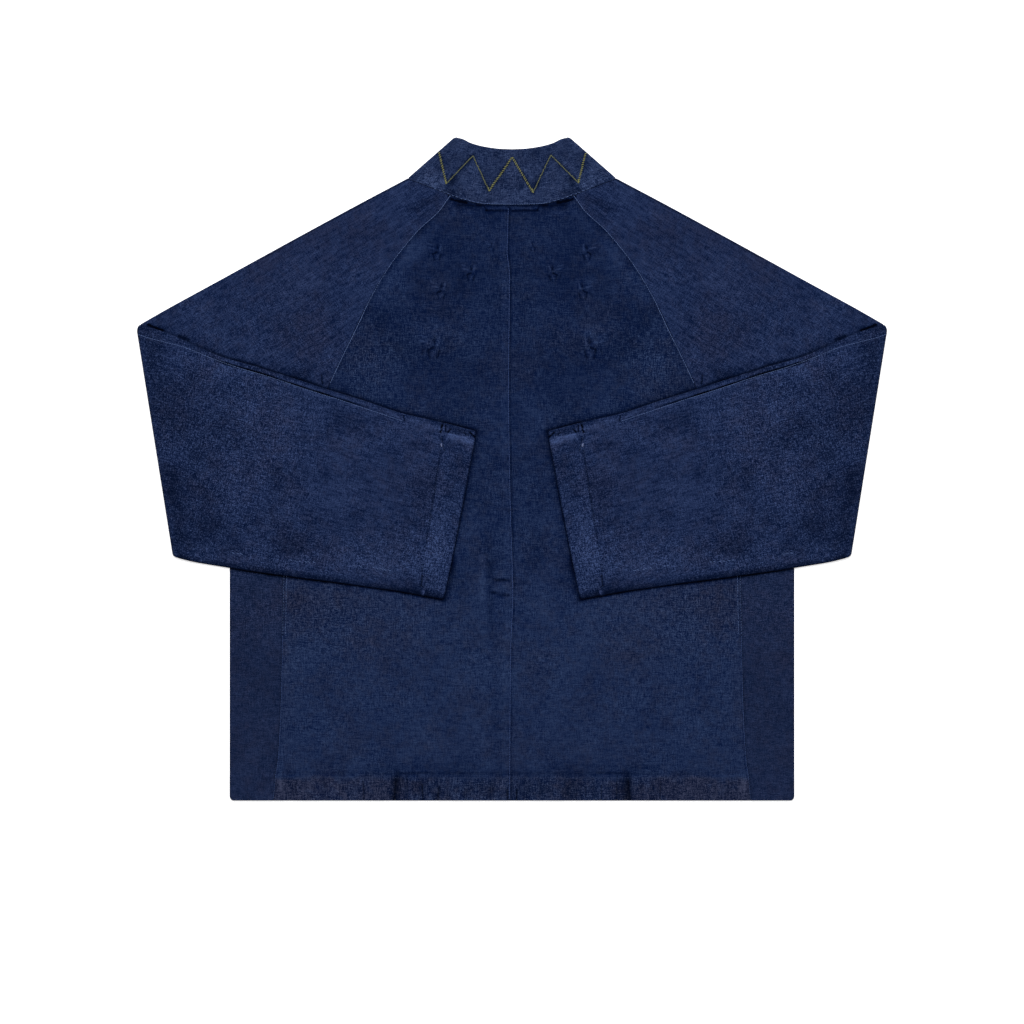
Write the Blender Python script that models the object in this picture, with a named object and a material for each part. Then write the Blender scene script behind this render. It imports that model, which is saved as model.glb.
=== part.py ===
"""A denim hanten lying flat on its front, with both sleeves folded over its back.

Sizes are in millimetres. "out" is the distance from the centre line, "up" the height above the hem
along the cloth, and z the height above the table. The mesh is written in metres, +Z up, +Y to the collar.
"""

from collections import namedtuple

import bmesh
import bpy
import numpy as np

MM = 0.001
LENGTH = 753.0
BODY_HALF_WIDTH = 320.0

CLOTH = 1.1
TURNED_HEM = 2.0
COLLAR_BAND = 2.2
HEM_DEPTH = 30.0
HEM_STEP = 3.0
SEAM_GAP = 0.4

# The back lies on the fronts with a little air between, and rides up over the doubled front bands.
BACK_FLOOR = 2.4
LIFT_OVER_BAND = 0.4
LIFT_OVER_HEM = 0.2
LIFT_RAMP = 10.0
COLLAR_FLOOR = 3.1

# The sleeve turns back on itself round an axis this high above the table.
SLEEVE_TOP = BACK_FLOOR + CLOTH
FOLD_INNER_RADIUS = 1.1
FOLD_AXIS_Z = SLEEVE_TOP + FOLD_INNER_RADIUS
FOLD_STEPS = 8
EDGE_STEPS = 4
CUFF_OPENING = 1.0
SLEEVE_DOME = 1.2
DOME_ROUNDNESS = 0.7
SLEEVE_REST_GAP = 0.5
SLEEVE_LAND = 60.0

INDIGO = (0.0125, 0.0225, 0.067, 1.0)
INDIGO_SIDE = (0.0105, 0.0178, 0.054, 1.0)
INDIGO_COLLAR = (0.0185, 0.0300, 0.0720, 1.0)

# One row for each place where body, sleeve and front band meet, from the neck to the hem.
SeamRow = namedtuple("SeamRow", "back_out back_up centre_up front_out front_up band_out band_up edge_out edge_up")
SEAM_ROWS = [
    SeamRow(71.0, 687.7, 676.5, 110.4, 671.6, 108.9, 673.6, 46.0, 691.0),
    SeamRow(83.5, 669.0, 664.0, 114.5, 662.0, 105.0, 659.4, 42.3, 676.0),
    SeamRow(105.0, 649.0, 649.0, 122.0, 645.0, 100.6, 644.0, 38.2, 660.0),
    SeamRow(139.1, 609.0, 612.0, 139.1, 609.0, 91.7, 611.4, 29.5, 627.4),
    SeamRow(162.3, 570.2, 572.0, 162.3, 570.2, 81.0, 572.0, 19.0, 588.0),
    SeamRow(193.3, 508.2, 510.0, 193.3, 508.2, 66.0, 515.4, 4.3, 531.4),
    SeamRow(207.5, 471.0, 471.0, 207.5, 471.0, 62.5, 480.0, 0.3, 490.0),
    SeamRow(226.6, 420.0, 420.0, 226.6, 420.0, 62.5, 420.0, 0.3, 420.0),
    SeamRow(243.6, 369.0, 369.0, 243.6, 369.0, 62.5, 369.0, 0.3, 369.0),
    SeamRow(256.7, 318.0, 318.0, 256.7, 318.0, 62.5, 318.0, 0.3, 318.0),
    SeamRow(259.2, 251.4, 251.4, 259.2, 251.4, 62.5, 251.4, 0.3, 251.4),
    SeamRow(260.4, 197.0, 197.0, 260.4, 197.0, 62.5, 197.0, 0.3, 197.0),
    SeamRow(262.0, 121.0, 121.0, 262.0, 121.0, 62.5, 121.0, 0.3, 121.0),
    SeamRow(265.9, 45.0, 45.0, 265.9, 45.0, 62.5, 45.0, 0.3, 45.0),
    SeamRow(268.2, HEM_DEPTH, HEM_DEPTH, 268.2, HEM_DEPTH, 62.5, HEM_DEPTH, 0.3, HEM_DEPTH),
    SeamRow(268.6, HEM_DEPTH - HEM_STEP, HEM_DEPTH - HEM_STEP, 268.6, HEM_DEPTH - HEM_STEP,
            62.5, HEM_DEPTH - HEM_STEP, 0.3, HEM_DEPTH - HEM_STEP),
    SeamRow(271.3, 0.0, 0.0, 271.3, 0.0, 62.5, 0.0, 0.3, 0.0),
]
ARMHOLE_ROWS = 10

# The centre back seam wanders a little off the centre line: sideways place at a height above the hem.
CENTRE_SEAM_UP = [0.0, 114.0, 170.0, 238.0, 268.0, 324.0, 367.0, 465.0, 598.0, 624.0, 676.5]
CENTRE_SEAM_X = [-2.8, -2.2, -1.4, 0.8, 0.2, -1.7, -2.7, -4.0, -3.0, -5.5, -4.0]

# The collar from the centre back to the side of the neck: its sewn edge below, its free edge above.
CollarRow = namedtuple("CollarRow", "sewn_out sewn_up free_out free_up")
COLLAR_ROWS = [
    CollarRow(0.0, 676.5, 0.0, 739.0),
    CollarRow(18.0, 676.7, 12.0, 739.4),
    CollarRow(36.7, 677.8, 26.0, 741.1),
    CollarRow(53.0, 681.6, 38.0, 743.6),
    CollarRow(71.0, 687.7, 47.5, 746.6),
    CollarRow(94.0, 697.0, 55.5, 750.6),
]
COLLAR_FOLD_STEPS = 6
COLLAR_FOLD = CollarRow(117.5, 706.5, 63.0, 753.0)
COLLAR_FRONT_ROWS = [
    CollarRow(112.5, 688.0, 53.5, 722.0),
    CollarRow(109.0, 674.2, 46.2, 691.6),
]

# The underarm end of the armhole, at the body's side.
UNDERARM_OUT, UNDERARM_UP = BODY_HALF_WIDTH, 290.0
# The fold across the sleeve, and where each line from the armhole reaches it, from overarm to underarm.
FOLD_TOP = np.array([420.6, 539.0])
FOLD_BOTTOM = np.array([379.5, 276.0])
FOLD_SHARES = [0.0, 0.02, 0.045, 0.08, 0.13, 0.21, 0.31, 0.46, 0.55, 0.67, 0.79, 0.90, 1.0]

# The overarm's bow fades out over this share of the section.
BOW_REACH = 0.25
# Sections of the sleeve's lower half: share of the way from armhole to fold, and how far the overarm bows out.
LowerRow = namedtuple("LowerRow", "share bow")
LOWER_ROWS = [
    LowerRow(0.0, 0.0),
    LowerRow(0.22, 0.5),
    LowerRow(0.45, 1.0),
    LowerRow(0.68, 1.5),
    LowerRow(0.88, 1.5),
    LowerRow(1.0, 0.6),
]

# The folded half of the sleeve, from the fold to the cuff's edge.
FoldedRow = namedtuple("FoldedRow", "top_out top_up bottom_out bottom_up wall")
FOLDED_ROWS = [
    FoldedRow(397.0, 532.8, 362.0, 271.3, CLOTH),
    FoldedRow(369.7, 521.5, 338.0, 267.3, CLOTH),
    FoldedRow(328.8, 504.0, 306.0, 262.6, CLOTH),
    FoldedRow(287.9, 492.2, 268.0, 257.3, CLOTH),
    FoldedRow(247.0, 479.3, 232.0, 252.5, CLOTH),
    FoldedRow(206.2, 466.0, 196.0, 248.0, CLOTH),
    FoldedRow(165.3, 452.5, 160.0, 242.8, CLOTH),
    FoldedRow(124.4, 438.5, 128.0, 238.3, CLOTH),
    FoldedRow(81.0, 429.0, 105.5, 234.0, CLOTH),
    FoldedRow(78.0, 428.4, 103.0, 233.6, TURNED_HEM),
    FoldedRow(40.3, 419.1, 77.5, 229.0, TURNED_HEM),
]
# The overarm seam shows as a low ridge beside the folded half's top edge: one height for each line.
SEAM_RIDGE = [0.0, 0.5, -0.1]

BACK_COLUMNS = [0.0, 0.07, 0.2535, 0.517, 0.746, 1.0]
FRONT_COLUMNS = [0.0, 0.35, 0.7, 1.0]
BAND_COLUMNS = [0.0, 0.5, 1.0]
COLLAR_COLUMNS = [0.0, 0.33, 0.67, 1.0]
# The back's top rows take on the neck's curve by these shares.
NECK_CURVE_SHARES = [1.0, 0.66, 0.33]
SIDE_COLUMNS = [0.0, 0.5, 1.0]


def smooth_step(value, low, high):
    share = np.clip((np.asarray(value, float) - low) / (high - low), 0.0, 1.0)
    return share * share * (3.0 - 2.0 * share)


def hem_share(up):
    return 1.0 - smooth_step(up, HEM_DEPTH - HEM_STEP, HEM_DEPTH)


def hem_wall(up):
    return CLOTH + (TURNED_HEM - CLOTH) * hem_share(up)


def band_seam_out(up):
    rows = sorted((row.band_up, row.band_out) for row in SEAM_ROWS)
    return np.interp(up, [row[0] for row in rows], [row[1] for row in rows])


def back_floor(out, up):
    edge = band_seam_out(up) + LIFT_RAMP
    over_band = 1.0 - smooth_step(np.abs(out), edge - LIFT_RAMP / 2, edge + LIFT_RAMP / 2)
    return BACK_FLOOR + np.maximum(LIFT_OVER_BAND * over_band, LIFT_OVER_HEM * hem_share(up))


def back_top(out, up):
    return back_floor(out, up) + hem_wall(up)


def make_material(name, colour, roughness):
    material = bpy.data.materials.new(name)
    material.use_nodes = True
    shader = material.node_tree.nodes["Principled BSDF"]
    shader.inputs["Base Color"].default_value = colour
    shader.inputs["Roughness"].default_value = roughness
    shader.inputs["Metallic"].default_value = 0.0
    material.diffuse_color = colour
    return material


def closed_wall(name, outer, inner, material, side=1, tube=False):
    """One closed body between an outer and an inner grid of points. A tube's columns close on themselves."""
    rows, columns = outer.shape[:2]
    points = np.concatenate([outer.reshape(-1, 3), inner.reshape(-1, 3)])
    points[:, 0] *= side
    points[:, 1] -= LENGTH / 2
    mesh = bmesh.new()
    corners = [mesh.verts.new(point * MM) for point in points]

    def corner(layer, row, column):
        return corners[layer * rows * columns + row * columns + column % columns]

    spans = columns if tube else columns - 1
    for row in range(rows - 1):
        for column in range(spans):
            for layer in (0, 1):
                square = [(row, column), (row + 1, column), (row + 1, column + 1), (row, column + 1)]
                mesh.faces.new([corner(layer, r, c) for r, c in square])
    rims = [[(row, c) for c in range(spans + 1)] for row in (0, rows - 1)]
    if not tube:
        rims += [[(r, column) for r in range(rows)] for column in (0, columns - 1)]
    for rim in rims:
        for start, end in zip(rim, rim[1:]):
            mesh.faces.new([corner(0, *start), corner(0, *end), corner(1, *end), corner(1, *start)])
    bmesh.ops.recalc_face_normals(mesh, faces=mesh.faces)
    data = bpy.data.meshes.new(name)
    mesh.to_mesh(data)
    mesh.free()
    data.materials.append(material)
    piece = bpy.data.objects.new(name, data)
    bpy.context.scene.collection.objects.link(piece)
    return piece


def raised(flat, z):
    """Points on the table moved up to height z."""
    z = np.broadcast_to(z, flat.shape[:-1])
    return np.concatenate([flat, z[..., None]], axis=-1)


def between(start, end, shares):
    """A grid of points from each start to its end, at the given shares of the way."""
    shares = np.asarray(shares, float)[None, :, None]
    return start[:, None, :] * (1.0 - shares) + end[:, None, :] * shares


def polyline_normals(line):
    """Unit normals of a line of points in the table's plane, to the right of the way that it runs."""
    ways = np.diff(line, axis=0)
    ways /= np.linalg.norm(ways, axis=1, keepdims=True)
    ways = np.concatenate([ways[:1], (ways[:-1] + ways[1:]) / 2, ways[-1:]])
    ways /= np.linalg.norm(ways, axis=1, keepdims=True)
    return np.stack([ways[:, 1], -ways[:, 0]], axis=1)


def build_back(name, side, material):
    """Half of the back, from the centre seam to the raglan and side seam."""
    seam = np.array([(row.back_out, row.back_up) for row in SEAM_ROWS])
    centre_up = np.array([row.centre_up for row in SEAM_ROWS])
    centre_out = side * np.interp(centre_up, CENTRE_SEAM_UP, CENTRE_SEAM_X) + SEAM_GAP / 2
    centre = np.stack([centre_out, centre_up], axis=1)
    flat = between(centre, seam, BACK_COLUMNS)
    # The neck's curve fades out over the first few rows.
    neck_out = np.array([row.sewn_out for row in COLLAR_ROWS])
    neck_up = np.array([row.sewn_up for row in COLLAR_ROWS])
    dip = np.interp(flat[0, :, 0], neck_out, neck_up) - flat[0, :, 1]
    for row, share in enumerate(NECK_CURVE_SHARES):
        flat[row, :, 1] += share * dip
    floor = back_floor(flat[..., 0], flat[..., 1])
    top = back_top(flat[..., 0], flat[..., 1])
    return closed_wall(name, raised(flat, top), raised(flat, floor), material, side)


def build_front(name, side, material):
    """Half of the front, flat on the table, from the band's seam to the raglan and side seam."""
    seam = np.array([(row.front_out, row.front_up) for row in SEAM_ROWS])
    band = np.array([(row.band_out + SEAM_GAP, row.band_up) for row in SEAM_ROWS])
    flat = between(band, seam, FRONT_COLUMNS)
    return closed_wall(name, raised(flat, hem_wall(flat[..., 1])), raised(flat, 0.0), material, side)


def build_front_band(name, side, material):
    """The doubled band down one front edge, from the shoulder to the hem."""
    sewn = np.array([(row.band_out, row.band_up) for row in SEAM_ROWS])
    free = np.array([(row.edge_out, row.edge_up) for row in SEAM_ROWS])
    flat = between(sewn, free, BAND_COLUMNS)
    return closed_wall(name, raised(flat, COLLAR_BAND), raised(flat, 0.0), material, side)


def build_side(name, side, material):
    """The side panel, which wraps round the body's side from the back seam to the front seam."""
    rows = SEAM_ROWS[ARMHOLE_ROWS - 1:]
    seam_out = np.array([row.back_out for row in rows]) + SEAM_GAP
    seam_up = np.array([row.back_up for row in rows])
    slant = UNDERARM_UP / seam_up[0]
    edge_up = seam_up * (slant + (1.0 - slant) * smooth_step(-seam_up, -seam_up[0], -HEM_DEPTH))
    top = back_top(seam_out, seam_up)
    wall = hem_wall(seam_up)
    turn = np.linspace(0.0, np.pi, 2 * EDGE_STEPS - 1)
    grids = []
    for radius in (top / 2, top / 2 - wall):
        bend_out = BODY_HALF_WIDTH - top / 2
        seam = np.stack([seam_out, seam_up], axis=1)
        bend = np.stack([bend_out, edge_up], axis=1)
        flat = between(seam, bend, SIDE_COLUMNS)
        above = raised(flat, (top / 2 + radius)[:, None])
        below = raised(flat, (top / 2 - radius)[:, None])[:, ::-1]
        turn_out = bend_out[:, None] + radius[:, None] * np.sin(turn)
        turn_z = (top / 2)[:, None] + radius[:, None] * np.cos(turn)
        turn_up = np.broadcast_to(edge_up[:, None], turn_out.shape)
        bent = np.stack([turn_out, turn_up, turn_z], axis=-1)
        grids.append(np.concatenate([above[:, :-1], bent, below[:, 1:]], axis=1))
    return closed_wall(name, grids[0], grids[1], material, side)


def collar_half(radius):
    """Points of half the collar at one distance from the fold's axis: back, turned edge, front."""
    axis_z = (COLLAR_FLOOR + COLLAR_BAND) / 2
    fold = np.array([COLLAR_FOLD[:2], COLLAR_FOLD[2:]])
    along = (fold[1] - fold[0]) / np.linalg.norm(fold[1] - fold[0])
    outward = np.array([along[1], -along[0]])
    axis = fold - outward * axis_z
    rings = []
    for row in COLLAR_ROWS:
        line = np.array([[row.sewn_out, row.sewn_up + SEAM_GAP], [row.free_out, row.free_up]])
        rings.append((line, 0.0))
    rings += [(axis, angle) for angle in np.linspace(0.0, np.pi, COLLAR_FOLD_STEPS + 1)]
    rings += [(np.array([row[:2], row[2:]]), np.pi) for row in COLLAR_FRONT_ROWS]
    shares = np.array(COLLAR_COLUMNS)[:, None]
    points = []
    for line, angle in rings:
        flat = line[0] * (1.0 - shares) + line[1] * shares + outward * radius * np.sin(angle)
        points.append(raised(flat, axis_z + radius * np.cos(angle)))
    return np.array(points)


def build_collar(name, material):
    """The collar behind the neck, turned under at both sides of the neck to where the front bands start."""
    axis_z = (COLLAR_FLOOR + COLLAR_BAND) / 2
    grids = []
    for radius in (axis_z, axis_z - COLLAR_BAND):
        right = collar_half(radius)
        left = right[:0:-1] * np.array([-1.0, 1.0, 1.0])
        grids.append(np.concatenate([left, right]))
    return closed_wall(name, grids[0], grids[1], material)


def sleeve_lines(rows, is_back):
    """The armhole from the neck end of the overarm to the underarm, kept a seam's gap off the body."""
    if is_back:
        neck = [(COLLAR_ROWS[-1].sewn_out, COLLAR_ROWS[-1].sewn_up)]
        line = neck + [(row.back_out, row.back_up) for row in rows]
    else:
        neck = [(COLLAR_FRONT_ROWS[0].sewn_out, COLLAR_FRONT_ROWS[0].sewn_up)]
        line = neck + [(row.front_out, row.front_up) for row in rows]
    line = np.array([COLLAR_FOLD[:2]] + line + [(UNDERARM_OUT, UNDERARM_UP)])
    return line - polyline_normals(line) * SEAM_GAP


def sleeve_ring(back, front, ends, heights, wall, angle, outward):
    """One section of the sleeve, as an outer and an inner loop of points.

    back and front are the layers' lines in the table's plane, ends the outward directions at the
    overarm and the underarm, and heights the layers' outer faces before the section is turned.
    """
    turn = np.linspace(0.0, np.pi, EDGE_STEPS + 1)[1:-1]
    loops = []
    for inset in (0.0, wall):
        back_z, front_z = heights[0] - inset, heights[1] + inset
        over_z, under_z = (heights[0][0] + heights[1][0]) / 2, (heights[0][-1] + heights[1][-1]) / 2
        over_radius, under_radius = back_z[0] - over_z, back_z[-1] - under_z
        under = [(back[-1] + ends[1] * under_radius * np.sin(a), under_z + under_radius * np.cos(a)) for a in turn]
        over = [(back[0] + ends[0] * over_radius * np.sin(a), over_z - over_radius * np.cos(a)) for a in turn]
        flat = [*back, *[p for p, _ in under], *front[::-1], *[p for p, _ in over]]
        level = [*back_z, *[z for _, z in under], *front_z[::-1], *[z for _, z in over]]
        reach = FOLD_AXIS_Z - np.array(level)
        points = np.array(flat) + outward * (reach * np.sin(angle))[:, None]
        loops.append(raised(points, FOLD_AXIS_Z - reach * np.cos(angle)))
    return loops


def unit(vector):
    return vector / np.linalg.norm(vector)


def build_sleeve(name, side, material):
    """The sleeve as one flattened tube: armhole, lower half, the fold, and the half that lies on the back."""
    rows = SEAM_ROWS[:ARMHOLE_ROWS]
    back_armhole, front_armhole = sleeve_lines(rows, True), sleeve_lines(rows, False)
    along_fold = unit(FOLD_TOP - FOLD_BOTTOM)
    outward = np.array([along_fold[1], -along_fold[0]])
    overarm = unit(FOLD_TOP - back_armhole[0])
    underarm = unit(FOLD_BOTTOM - back_armhole[-1])
    lower_ends = [np.array([-overarm[1], overarm[0]]), np.array([underarm[1], -underarm[0]])]
    fold_ends = [along_fold, -along_fold]
    shares = np.array(FOLD_SHARES)
    count = len(shares)
    half = SLEEVE_TOP / 2
    rings = []

    def section_line(top, bottom, ends, radii):
        start, stop = top - ends[0] * radii[0], bottom - ends[1] * radii[1]
        return start * (1.0 - shares[:, None]) + stop * shares[:, None]

    fold_line = section_line(FOLD_TOP, FOLD_BOTTOM, fold_ends, (half, half))
    for share, bow in LOWER_ROWS:
        ends = [unit(a * (1.0 - share) + b * share) for a, b in zip(lower_ends, fold_ends)]
        lines = []
        for armhole in (back_armhole, front_armhole):
            line = armhole.copy()
            line[0] = armhole[0] - lower_ends[0] * half
            line[-1] = armhole[-1] - lower_ends[1] * half
            line = line * (1.0 - share) + fold_line * share
            lines.append(line + ends[0] * bow * (1.0 - smooth_step(shares, 0.0, BOW_REACH))[:, None])
        heights = (np.full(count, SLEEVE_TOP), np.zeros(count))
        rings.append(sleeve_ring(lines[0], lines[1], ends, heights, CLOTH, 0.0, outward))
    for angle in np.linspace(0.0, np.pi, FOLD_STEPS + 1)[1:]:
        heights = (np.full(count, SLEEVE_TOP), np.zeros(count))
        rings.append(sleeve_ring(fold_line, fold_line, fold_ends, heights, CLOTH, angle, outward))

    table = [(np.array(FOLD_TOP), np.array(FOLD_BOTTOM))]
    table += [(np.array(row[:2]), np.array(row[2:4])) for row in FOLDED_ROWS]
    tops, bottoms = np.array([t for t, _ in table]), np.array([b for _, b in table])
    top_ends, bottom_ends = polyline_normals(tops), -polyline_normals(bottoms)
    ridge = np.zeros(count)
    ridge[:len(SEAM_RIDGE)] = SEAM_RIDGE
    for index, row in enumerate(FOLDED_ROWS, start=1):
        ends = [top_ends[index], bottom_ends[index]]
        travelled = np.linalg.norm(tops[index] - tops[0])
        is_cuff = row.wall > CLOTH
        dome = 0.0 if is_cuff else SLEEVE_DOME * float(smooth_step(travelled, 0.0, SLEEVE_LAND))
        thickness = 2.0 * row.wall + (CUFF_OPENING if is_cuff else SLEEVE_TOP - 2.0 * CLOTH)
        line = section_line(tops[index], bottoms[index], ends, (thickness / 2, thickness / 2))
        under = np.maximum(back_top(line[:, 0], line[:, 1]), SLEEVE_TOP) + SLEEVE_REST_GAP
        fold_low = 2.0 * FOLD_AXIS_Z - SLEEVE_TOP
        landing = 1.0 - float(smooth_step(travelled, 0.0, SLEEVE_LAND))
        low = under * (1.0 - landing) + fold_low * landing
        swell = np.sin(np.pi * shares) ** DOME_ROUNDNESS * dome
        high = low + thickness + swell + (0.0 if is_cuff else ridge)
        heights = (2.0 * FOLD_AXIS_Z - low, 2.0 * FOLD_AXIS_Z - high)
        rings.append(sleeve_ring(line, line, ends, heights, row.wall, np.pi, outward))
    outer = np.array([ring[0] for ring in rings])
    inner = np.array([ring[1] for ring in rings])
    return closed_wall(name, outer, inner, material, side, tube=True)


def main():
    for old in list(bpy.data.objects):
        bpy.data.objects.remove(old)
    body = make_material("indigo_denim", INDIGO, 0.85)
    side_panel = make_material("indigo_denim_side", INDIGO_SIDE, 0.85)
    collar = make_material("indigo_denim_collar", INDIGO_COLLAR, 0.8)
    build_collar("collar", collar)
    for hand, side in (("left", -1), ("right", 1)):
        build_back(f"back_{hand}", side, body)
        build_front(f"front_{hand}", side, body)
        build_front_band(f"front_band_{hand}", side, collar)
        build_side(f"side_panel_{hand}", side, side_panel)
        build_sleeve(f"sleeve_{hand}", side, body)


main()
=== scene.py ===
import bpy
import numpy as np
from mathutils.bvhtree import BVHTree
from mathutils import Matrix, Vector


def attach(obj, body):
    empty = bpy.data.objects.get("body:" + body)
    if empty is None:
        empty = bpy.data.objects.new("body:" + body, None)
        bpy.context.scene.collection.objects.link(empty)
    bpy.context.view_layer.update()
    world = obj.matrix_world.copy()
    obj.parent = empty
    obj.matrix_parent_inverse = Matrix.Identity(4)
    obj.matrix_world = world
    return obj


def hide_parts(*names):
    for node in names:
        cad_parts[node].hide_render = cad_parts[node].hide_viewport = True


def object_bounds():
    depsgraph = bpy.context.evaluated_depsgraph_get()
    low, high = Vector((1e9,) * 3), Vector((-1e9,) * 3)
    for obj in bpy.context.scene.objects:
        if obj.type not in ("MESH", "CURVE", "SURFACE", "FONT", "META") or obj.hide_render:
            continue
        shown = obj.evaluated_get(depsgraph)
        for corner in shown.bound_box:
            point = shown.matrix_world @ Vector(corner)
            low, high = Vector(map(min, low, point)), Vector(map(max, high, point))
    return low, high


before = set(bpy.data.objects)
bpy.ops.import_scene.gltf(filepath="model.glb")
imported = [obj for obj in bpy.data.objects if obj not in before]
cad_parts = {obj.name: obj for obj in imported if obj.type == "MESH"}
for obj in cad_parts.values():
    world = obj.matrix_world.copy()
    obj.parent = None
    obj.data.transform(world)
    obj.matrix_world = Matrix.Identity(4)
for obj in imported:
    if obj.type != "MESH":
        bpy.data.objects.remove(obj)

cadLow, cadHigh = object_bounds()
mm = 0.001
hemLine = cadLow.y / mm  # the hem's place in the row's frame

# All sizes are in millimetres: "out" from the centre line, "up" from the hem along the cloth,
# z above the table. side is -1 for the left half and 1 for the right half.
cloth = dict(wall=1.1, hemWall=2.0, hemDepth=30.0, hemStep=3.0, collarWall=2.2, seamGap=0.2, backFloor=2.4,
             overBand=0.4, overHem=0.2, overBandRamp=10.0,
             lap=0.5)  # at a seam one wall's edge slants in under its neighbour's

# Where body, sleeve and front band meet, as out and up, from the neck to the hem. Below 471 or so
# all the lines have their points at the same heights.
lowerOut = [226.6, 243.6, 256.7, 259.2, 260.4, 262.0, 265.9, 268.2, 268.6, 271.3]
lowerUp = [420.0, 369.0, 318.0, 251.4, 197.0, 121.0, 45.0, 30.0, 27.0, 0.0]
seams = {key: np.array([*upper, *zip(outs, lowerUp)]) for key, outs, upper in (
    ("back", lowerOut, [(71, 687.7), (83.5, 669), (105, 649), (137.9, 609), (160.9, 570.2), (190.7, 508.2),
                        (208.3, 471)]),
    ("front", lowerOut, [(110.4, 671.6), (114.5, 662), (122, 645), (139.1, 609), (162.3, 570.2),
                         (193.3, 508.2), (207.5, 471)]),
    ("band", [62.5] * 10, [(108.9, 673.6), (105, 659.4), (100.6, 644), (91.7, 611.4), (81, 572), (66, 515.4),
                           (62.5, 480)]),
    ("edge", [0.3] * 10, [(46, 691), (42.3, 676), (38.2, 660), (29.5, 627.4), (19, 588), (4.3, 531.4),
                          (0.3, 490)]),
    ("centre", [0.0] * 10, [(0, 676.5), (0, 664), (0, 649), (0, 612), (0, 572), (0, 510), (0, 471)]))}
armholeRows = 10

# the centre back seam wanders a little: up, and x there
centreSeam = np.array([(0, -2.8), (114, -2.2), (170, -1.4), (238, 0.8), (268, 0.2), (324, -1.7), (367, -2.7),
                       (465, -4), (598, -3), (624, -5.5), (676.5, -4)])

neck = dict(  # the collar from the centre back to the side of the neck: sewn edge and free edge
    sewn=np.array([(0, 676.5), (18, 676.7), (36.7, 677.8), (53, 681.6), (71, 687.7), (94, 697)]),
    free=np.array([(0, 739.8), (12, 740.2), (26, 741.8), (38, 744.2), (47.5, 747.2), (55.5, 751.2)]),
    foldSewn=np.array([118.1, 707.2]), foldFree=np.array([63.7, 754.9]), floor=3.1,
    frontSewn=[(112.5, 688.0), (109.0, 674.2)], frontFree=[(53.5, 722.0), (46.2, 691.6)])

sleeve = dict(
    underarm=(320.0, 290.0), foldTop=np.array([422.4, 540.0]), foldBottom=np.array([380.2, 275.7]),
    # where each of the armhole's points reaches the fold across the sleeve, from overarm to underarm
    foldShare=[0, 0.02, 0.045, 0.08, 0.13, 0.21, 0.31, 0.46, 0.55, 0.67, 0.79, 0.90, 1],
    bow=np.array([(0, 0), (0.22, 1), (0.45, 1.3), (0.68, 1.3), (0.88, 1.5), (1, 0.8)]), bowReach=0.25,
    # the half that is folded back, from the fold to the cuff's edge
    top=np.array([(422.4, 540), (397, 533), (369.7, 521.6), (328.8, 504), (287.9, 492.2), (247, 479.3),
                  (206.2, 466.2), (165.3, 453.4), (124.4, 439.8), (81, 430), (78, 429.3), (40.3, 419.6)]),
    bottom=np.array([(380.2, 275.7), (362, 271.1), (338, 266.9), (306, 261.9), (268, 256.4), (232, 251.6),
                     (196, 247.1), (160, 241.9), (128, 237.4), (105.5, 233.2), (103, 232.8), (77.5, 228.2)]),
    cuffRow=9, foldRadius=1.1, cuffOpening=1.0, cuffBow=0.9, dome=1.2, restGap=0.6, landing=60.0)


# Small numeric helpers

def pair(a, b):
    return np.stack([a, b], axis=-1)


def smoothStep(value, low, high):  # 0 below low, 1 above high, an even S between
    share = np.clip((np.asarray(value, float) - low) / (high - low), 0.0, 1.0)
    return share * share * (3.0 - 2.0 * share)


def bell(x, width):
    return np.exp(-(x / width) ** 2)


def smoothThrough(keys, values, at):
    # a cubic through every point, with slopes from the harmonic mean so that it never overshoots
    keys, values = np.asarray(keys, float), np.asarray(values, float)
    gap = np.diff(keys)
    slope = np.diff(values) / gap
    tangent = np.concatenate([slope[:1], np.zeros(len(slope) - 1), slope[-1:]])
    same = slope[:-1] * slope[1:] > 0
    total = np.where(same, slope[:-1] + slope[1:], 1.0)
    tangent[1:-1] = np.where(same, 2.0 * slope[:-1] * slope[1:] / total, 0.0)
    at = np.clip(np.asarray(at, float), keys[0], keys[-1])
    i = np.clip(np.searchsorted(keys, at, side="right") - 1, 0, len(gap) - 1)
    t = (at - keys[i]) / gap[i]
    return ((2 * t**3 - 3 * t**2 + 1) * values[i] + (t**3 - 2 * t**2 + t) * gap[i] * tangent[i]
            + (3 * t**2 - 2 * t**3) * values[i + 1] + (t**3 - t**2) * gap[i] * tangent[i + 1])


def follow(keys, points, at):  # the same for a line of points
    return pair(*(smoothThrough(keys, values, at) for values in np.asarray(points, float).T))


def lengthKeys(points):  # length run so far along a line of points
    steps = np.linalg.norm(np.diff(np.asarray(points, float), axis=0), axis=1)
    return np.concatenate([[0.0], np.cumsum(steps)])


def stations(low, high, step, fine=(), fineStep=0.5, reach=7.0):
    # places from low to high, a step apart, closing up to the fine step near each fine place
    x = np.linspace(low, high, 6000)
    local = np.full_like(x, step)
    for place in fine:
        local = np.minimum(local, fineStep + (step - fineStep) * np.clip(np.abs(x - place) / reach, 0, 1))
    count = np.concatenate([[0.0], np.cumsum(np.diff(x) * 2.0 / (local[1:] + local[:-1]))])
    return np.interp(np.linspace(0.0, count[-1], int(np.ceil(count[-1])) + 1), count, x)


def between(a, b, share):  # a grid of points: rows from line a to line b, columns at each share
    share = share[:, None]
    return a[:, None] * (1.0 - share) + b[:, None] * share


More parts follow.
